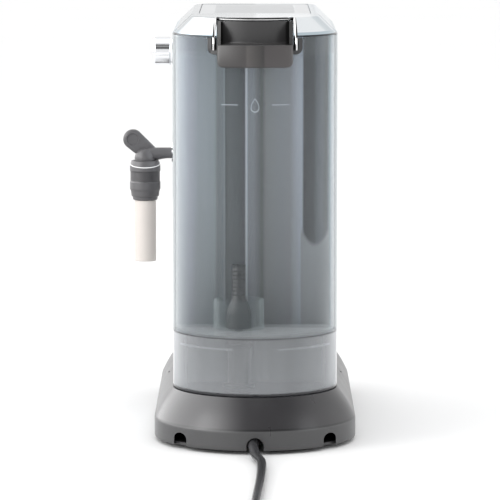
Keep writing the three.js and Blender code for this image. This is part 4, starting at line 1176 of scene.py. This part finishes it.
def add_handle():
    """Front plate, shelf, finger pocket and the dark strip of painted shade round the tank's notch."""
    wall = 2.5 * MM
    top = high("tank_handle")[2]
    plate = strip_faces("handle_plate", handle_plate())
    low_shelf, high_shelf = SHELF_TOP - wall, SHELF_TOP - 0.4 * MM
    shelf = ring_box("shelf", POCKET_BACK + MM, TANK_HALF + 2 * MM, low_shelf, high_shelf, 0.3 * MM,
                     HANDLE_HALF - 0.3 * MM)
    bowl = ring_box("bowl", POCKET_BACK, TANK_HALF - 0.3 * MM, low_shelf, top, 0.4 * MM, HANDLE_HALF)
    pocket = ring_box("pocket", POCKET_BACK + wall, TANK_HALF + 20 * MM, SHELF_TOP, top + 10 * MM, 1.6 * MM,
                      HANDLE_HALF - wall)
    cut(bowl, pocket)
    cut(bowl, chamfer_room(1 * MM), operation="INTERSECT")
    under_arch = TOP - 2.5 * MM
    cut(bowl, block("over", (-1, -1, under_arch), (1, 1, 1)))
    # The dark strip round the notch is a dark piece put there as painted shade.
    shade_strip = notch_shade_strip(NOTCH_HALF - 0.3 * MM, NOTCH_LOW + 0.3 * MM)
    dress(joined("handle", plate, shelf, bowl, shade_strip), "handle_plastic", "tank_handle")


def add_lid():
    """Chamfered lid: the top's outline behind its hinge line, hollow below, slotted for the handle."""
    lo = low("tank_lid")
    gap = 0.25 * MM
    skin = stack("lid", top_profile(gap, lo[2]), HEAD_FRONT, HEAD_CORNER, sharp=28)
    hollow = stack("hollow", top_profile(gap + WALL, lo[2] - 20 * MM, WALL), HEAD_FRONT, HEAD_CORNER)
    cut(hollow, beyond(lo[1] + WALL), operation="INTERSECT")
    ahead = block("ahead", (-1, -1, -1), (1, lo[1], 1))
    front = POCKET_BACK - 2.5 * MM
    slot = around_tank("slot", [[front, 0.2], [0.2, 0.2], [0.2, 0.4], [front, 0.4]], HANDLE_HALF + 0.5 * MM)
    dress(cut(skin, hollow, ahead, slot), "lid_polished", "tank_lid")


def trim_path():
    """The arch's centreline: up each leg on the chamfer, in over the lid's edge and across the
    pocket's back, with its corners eased. The radius about the tank's axis falls as the arch climbs."""
    low_z, high_z = low("handle_trim")[2], TOP - 1.15 * MM
    leg_x, splay = HANDLE_HALF + 1.4 * MM, 1.2 * MM
    outer, back = BODY_HALF + 0.2 * MM, POCKET_BACK + MM
    upper = outer - TOP_LEAN + 1.2 * MM
    right = np.array([[leg_x + splay, outer, low_z], [leg_x + splay, outer, BODY_TOP - MM],
                      [leg_x, upper, high_z], [leg_x, back, high_z]])
    eased = rounded(np.vstack([right, right[::-1] * (-1, 1, 1)]), 3.2 * MM, steps=9)
    spans = zip(eased[:-1], eased[1:])
    fine = np.vstack([*(np.linspace(a, b, 6, endpoint=False) for a, b in spans), eased[-1:]])
    return round_tank(*fine.T)


def add_trim():
    """Polished arch round the finger pocket: a round bar along the arch's centreline."""
    trim = swept("pocket_trim", trim_path(), 1.1 * MM, sides=16)
    dress(trim, "trim_chrome", "handle_trim")


add_handle()
add_lid()
add_trim()


# ------------------------------------------------------------------ steam knob, wand and frother
def add_knob():
    """Turned steam knob with a stepped face and a fine groove near its skirt."""
    lo, hi = ends("steam_knob")
    r, start, end = (hi - lo)[1] / 2, lo[0], hi[0]
    groove, face = r - 0.35 * MM, end - 0.4 * MM
    profile = rounded([
        [3.3 * MM, start], [r - 0.6 * MM, start], [r, start + 0.8 * MM], [r, start + 2.2 * MM],
        [groove, start + 2.5 * MM], [groove, start + 3.1 * MM], [r, start + 3.4 * MM], [r, end - 1.6 * MM],
        [r - 1.2 * MM, end - 0.2 * MM], [r - 3 * MM, end], [r - 3.4 * MM, face], [0.3 * MM, face],
        [0.3 * MM, end - 5.5 * MM], [3.3 * MM, end - 5.5 * MM],
    ], 0.5 * MM, closed=True)
    knob = turned("steam_dial", profile, middle("steam_knob") * (0, 1, 1), axis="x", sides=96, loop=True)
    dress(knob, "chrome", "steam_knob")


def on_circle(radius, angle):
    """Points of a circle at the given angles, in two columns."""
    return radius * np.column_stack([np.cos(angle), np.sin(angle)])


def add_elbow():
    """Arm and elbow as one round bar that thickens as it turns down, with a flat finger lever."""
    lo, hi = ends("wand_elbow")
    sleeve_x = middle("frother_collar")[0]
    arm_z, y = middle("wand_bush")[2], middle("wand_bush")[1]
    foot = high("frother_collar")[2] + 0.3 * MM
    dome_radius = 8.1 * MM
    dome_z = arm_z + 4.2 * MM - dome_radius
    dome = on_circle(dome_radius, np.linspace(0, pi / 2, 25)[:-1]) + (0, dome_z)
    dome = np.vstack([[[0.2 * MM, foot], [dome_radius, foot]], dome, [[0.2 * MM, dome_z + dome_radius]]])
    joint = turned("joint", dome, (sleeve_x, y, 0), sides=64)
    share = np.linspace(0, 1, 33)
    swell = 1.3 * MM * s_curve((share - 0.35) / 0.65)
    path = np.column_stack([lo[0] + (sleeve_x - lo[0]) * share, np.full(33, y), arm_z - swell])
    bar = swept("wand_bar", path, 4.2 * MM + swell, sides=40)
    tab_radius, root_radius = 7.5 * MM, 6.6 * MM
    tab = np.array([hi[0] - tab_radius, hi[2] - tab_radius])
    root = np.array([sleeve_x - 3.2 * MM, arm_z - 0.8 * MM])
    base_angle = np.arctan2(*(root - tab)[::-1])
    far = base_angle + np.linspace(pi / 2, 3 * pi / 2, 33)
    near = base_angle + np.linspace(-pi / 2, pi / 2, 25)
    rim = np.vstack([tab + on_circle(tab_radius, far), root + on_circle(root_radius, near)])
    centre = rim.mean(axis=0)
    depth, lever_y = 3.5 * MM, y - 2.6 * MM
    half_levels = [(0.86, depth), (0.95, depth - 0.5 * MM), (1, depth - 1.3 * MM)]
    levels = [(s, -d) for s, d in half_levels] + half_levels[::-1]
    rows = [laid(centre + (rim - centre) * s, lever_y + d, 1) for s, d in levels]
    lever = piece("lever", np.stack(rows))
    hollow = np.array([[4.1, -0.7], [4.7, 0.1], [4.7, 3]]) * MM + (0, depth)
    cut(lever, turned("dimple", hollow, (tab[0], lever_y, tab[1]), axis="y", sides=48))
    cut(bar, joint, operation="UNION", sharp=50)
    cut(bar, lever, operation="UNION")
    dress(bar, "wand_plastic", "wand_elbow")


def add_frother():
    """Stepped frother collar, and the satin sleeve below it with a rolled end."""
    lo, hi = ends("frother_collar")
    r = (hi - lo)[0] / 2
    z = lo[2] + 9 * MM
    steps = np.array([[-2.4, 0], [-2.1, 2.4], [-1.2, 2.9], [-0.7, 7], [0, 8.5], [0, 14],
                      [-0.4, 14.5], [-0.4, 22], [0, 22.5], [0, 27]]) * MM + (r, z)
    bore, neck = 3.3 * MM, 7 * MM
    lower = [[bore, lo[2]], [neck, lo[2]], [neck, z]]
    upper = [[r - 1.2 * MM, hi[2]], [bore, hi[2]]]
    profile = rounded(np.vstack([lower, steps, upper]), 0.5 * MM, closed=True)
    centre = middle("frother_collar") * (1, 1, 0)
    collar = turned("frother_body", profile, centre, sides=80, loop=True)
    dress(collar, "frother_plastic", "frother_collar")
    lo, hi = ends("frother_sleeve")
    outer = (hi - lo)[0] / 2
    inner = outer - 1.1 * MM
    section = rounded([[inner, lo[2]], [outer - 0.3 * MM, lo[2]], [outer, lo[2] + 0.6 * MM], [outer, hi[2]],
                       [inner, hi[2]]], 0.35 * MM, closed=True)
    sleeve = turned("frother_tube", section, centre, sides=80, loop=True)
    dress(sleeve, "sleeve_satin", "frother_sleeve")


add_knob()
add_elbow()
add_frother()


# ------------------------------------------------------------------ brewing group, buttons and feet
def add_holder():
    """Filter holder: a turned bowl with its lugs and boss, a waisted grip and a twin spout."""
    lo, hi = ends("portafilter_body")
    centre = np.array([MID_X, GROUP[1], 0])
    r, top, bottom = 30 * MM, hi[2], lo[2]
    profile = rounded([
        [4 * MM, bottom], [20 * MM, bottom], [r - MM, bottom + 7 * MM], [r, bottom + 10 * MM],
        [r, top - 2 * MM], [r - 0.6 * MM, top], [r - 3 * MM, top], [r - 3 * MM, bottom + 13 * MM],
        [18 * MM, bottom + 5 * MM], [4 * MM, bottom + 5 * MM],
    ], 1.2 * MM, closed=True)
    bowl = turned("bowl", profile, centre, sides=96, loop=True)
    grip_lo, grip_hi = ends("portafilter_grip")
    grip_axis = (MID_X, 0, (grip_lo[2] + grip_hi[2]) / 2)
    front, back = grip_hi[1] + 0.3 * MM, GROUP[1] - r + 2 * MM
    pole = 0.2 * MM
    profile = [[pole, front], [7.4 * MM, front], [8 * MM, front + 0.9 * MM], [8 * MM, back], [pole, back]]
    boss = turned("boss", rounded(profile, 0.4 * MM), grip_axis, axis="y", sides=48)
    lug = rounded([[0, -7], [4, -6], [4, 6], [0, 7]], 1, closed=True) * MM + (r - MM, 0)
    lugs = [upright("lug", lug * (side, 1) + centre[:2], (top - 5 * MM, top - MM)) for side in (-1, 1)]
    dress(joined("holder", bowl, boss, *lugs), "chrome", "portafilter_body")
    along = np.linspace(0, 1, 61)
    swell = 9.5 + 2.8 * np.sin(pi * np.clip(along * 1.25 - 0.1, 0, 1)) ** 2
    end = np.sqrt(np.clip(1 - np.clip((along - 0.93) / 0.07, 0, 1) ** 2, 0.02, 1))
    profile = np.column_stack([swell * end * MM, grip_hi[1] + (grip_lo[1] - grip_hi[1]) * along])
    grip = turned("holder_grip", profile, grip_axis, axis="y", sides=64)
    dress(grip, "dark_plastic", "portafilter_grip")
    foot, roof = low("portafilter_spout")[2], high("portafilter_spout")[2]
    hub_foot = foot + 12 * MM
    profile = [[pole, hub_foot], [8 * MM, hub_foot], [10 * MM, foot + 15 * MM], [10 * MM, roof], [pole, roof]]
    hub = turned("hub", rounded(profile, MM), centre, sides=48)
    share, reach = np.linspace(-1, 1, 41), 11 * MM
    bend = np.column_stack([reach * share, 0 * share, foot + (13.5 - 4 * share ** 2) * MM]) + centre
    arm = swept("arms", bend, 4.4 * MM, sides=28)
    tube = np.array([[2.6, 0], [3.7, 0], [4.4, 10], [2.6, 10]]) * MM + (0, foot)
    tip = rounded(tube, 0.4 * MM, closed=True)
    tips = [turned("tip", tip, centre + (side * reach, 0, 0), sides=40, loop=True) for side in (-1, 1)]
    dress(joined("holder_spout", hub, arm, *tips), "dark_plastic", "portafilter_spout")


def add_buttons():
    """Round buttons, each a raised ring round a slightly sunk face."""
    for name in BUTTONS:
        lo, hi = ends(name)
        r = (hi - lo)[0] / 2
        face = np.array([[-1.6, 0.5], [-1.4, 0.1], [-0.5, 0], [0, 0.6]]) * MM + (r, lo[1])
        inner = 0.2 * MM
        profile = np.vstack([[[inner, lo[1] + 0.7 * MM]], face, [[r, hi[1]], [inner, hi[1]]]])
        centre = middle(name) * (1, 0, 1)
        button = turned(name + "_cap", rounded(profile, 0.25 * MM), centre, axis="y", sides=64)
        dress(button, "chrome", name)


def add_feet():
    """Rubber feet with a chamfered tread and a shallow ring."""
    for name in ("foot_rear_left", "foot_rear_right", "foot_front_left", "foot_front_right"):
        lo, hi = ends(name)
        r, inner, ease = (hi - lo)[0] / 2, 0.3 * MM, 0.8 * MM
        sunk = lo[2] + 0.4 * MM
        profile = [[inner, sunk], [r * 0.45, sunk], [r * 0.55, lo[2]], [r - ease, lo[2]], [r, lo[2] + ease],
                   [r, hi[2]], [inner, hi[2]]]
        foot = turned(name + "_pad", rounded(profile, 0.3 * MM), middle(name) * (1, 1, 0), sides=48)
        dress(foot, "soft_rubber", name)


add_holder()
add_buttons()
add_feet()

# ------------------------------------------------------------------ finishes of the frame's own parts
KEPT_PARTS = {
    "dark_plastic": ["base_plate", "head_floor", "inlet_spigot"],
    "float_red": ["tray_float"],
    "soft_rubber": ["valve_poppet", "group_gasket", "pump_mount_lower", "pump_mount_upper", "inlet_seal"],
    "chrome": ["group_head", "shower_screw", "wand_bush", "steam_stem"],
    "brushed_steel": ["shower_screen", "filter_basket", "steam_nozzle", "wand_feed_pipe"],
    "body_metal": ["pump_bracket"],
    "brass": ["steam_valve", "temperature_sensor"],
    "aluminium": ["boiler", "pump"],
    "hose_milky": ["inlet_hose", "pressure_hose", "steam_hose"],
    "circuit_board": ["switch_board", "control_board"],
}
for finish, names in KEPT_PARTS.items():
    for name in names:
        node = frame["nodes"][name]
        node.data.materials.clear()
        node.data.materials.append(FINISHES[finish].material)


# ------------------------------------------------------------------ floor, surroundings and lights
def add_floor():
    """A wide pale floor, slightly mottled."""
    reach = 30
    mesh = bpy.data.meshes.new("floor")
    corners = [(-reach, -reach, 0), (reach, -reach, 0), (reach, reach, 0), (-reach, reach, 0)]
    mesh.from_pydata(corners, [], [(0, 1, 2, 3)])
    floor = bpy.data.objects.new("floor", mesh)
    bpy.context.collection.objects.link(floor)
    pale = Finish("floor_pale", "floor", Roughness=0.9, Specular_IOR_Level=0.1)
    mottle = pale.noise(0.4, detail=2)
    pale.set("Base Color", pale.blend(mottle, shade(0.90, 0.90, 0.90), shade(0.92, 0.92, 0.92)))
    mesh.materials.append(pale.material)


def add_surroundings():
    """A white studio. What shiny pieces mirror is the brightest of four things: a card on the right, a
    brighter one on the left, the room ahead of the machine, and belts overhead."""
    world = bpy.data.worlds.new("studio")
    world.use_nodes = True
    bpy.context.scene.world = world
    graph = Graph(world.node_tree)
    where = graph.node("ShaderNodeTexCoord", out="Generated")
    x, y, z = (graph.node("ShaderNodeSeparateXYZ", inputs={0: where}, out=k) for k in range(3))
    right = graph.ramp(x * 0.5 + 0.5, (0.0, 1.0), (0.1, 0.9), (0.22, 0.12), (1.0, 0.06)) * 1.5
    left = graph.ramp(x * 0.5 + 0.5, (0.0, 0.0), (0.62, 0.03), (0.78, 0.8), (1.0, 1.0)) * 5.0
    ahead = graph.ramp(y * 0.5 + 0.5, (0.0, 1.0), (0.42, 1.0), (0.50, 0.0), (1.0, 0.0))
    overhead = graph.ramp(z * 0.5 + 0.5, (0.0, 1.0), (0.66, 0.95), (0.69, 0.03), (0.80, 0.05), (0.84, 0.5),
                          (0.88, 0.16), (0.985, 0.14), (0.992, 1.0))
    cards = right.larger(left).larger(ahead).larger(overhead)
    mirrored = graph.node("ShaderNodeLightPath", out="Is Glossy Ray")
    back = world.node_tree.nodes["Background"]
    back.inputs["Color"].default_value = shade(1.0, 1.0, 1.0)
    graph.feed(back.inputs["Strength"], mirrored * cards + (1 - mirrored) * 1.08)


def add_light(name, place, aim, size, power, tint=(1, 1, 1)):
    """A soft rectangular light at a place, turned to face its aim."""
    light = bpy.data.lights.new(name, "AREA")
    light.shape = "RECTANGLE"
    light.size, light.size_y = size
    light.energy = power
    light.color = tint
    lamp = bpy.data.objects.new(name, light)
    lamp.location = place
    x, y, z = np.array(aim) - np.array(place)
    lamp.rotation_euler = (np.arctan2(np.hypot(x, y), -z), 0, np.arctan2(y, x) - pi / 2)
    bpy.context.collection.objects.link(lamp)


add_floor()
add_surroundings()
target = (MID_X, REAR_Y, 0.16)
add_light("key", (1.7, 1.0, 0.9), target, (0.9, 1.4), 14)
add_light("fill", (-1.9, 0.9, 0.7), target, (0.7, 1.4), 4, (0.92, 0.96, 1.0))
add_light("top", (0, 0.1, 1.9), target, (1.4, 1.4), 5)
scene = bpy.context.scene
scene.view_settings.view_transform = "Standard"
scene.cycles.transparent_max_bounces = 24
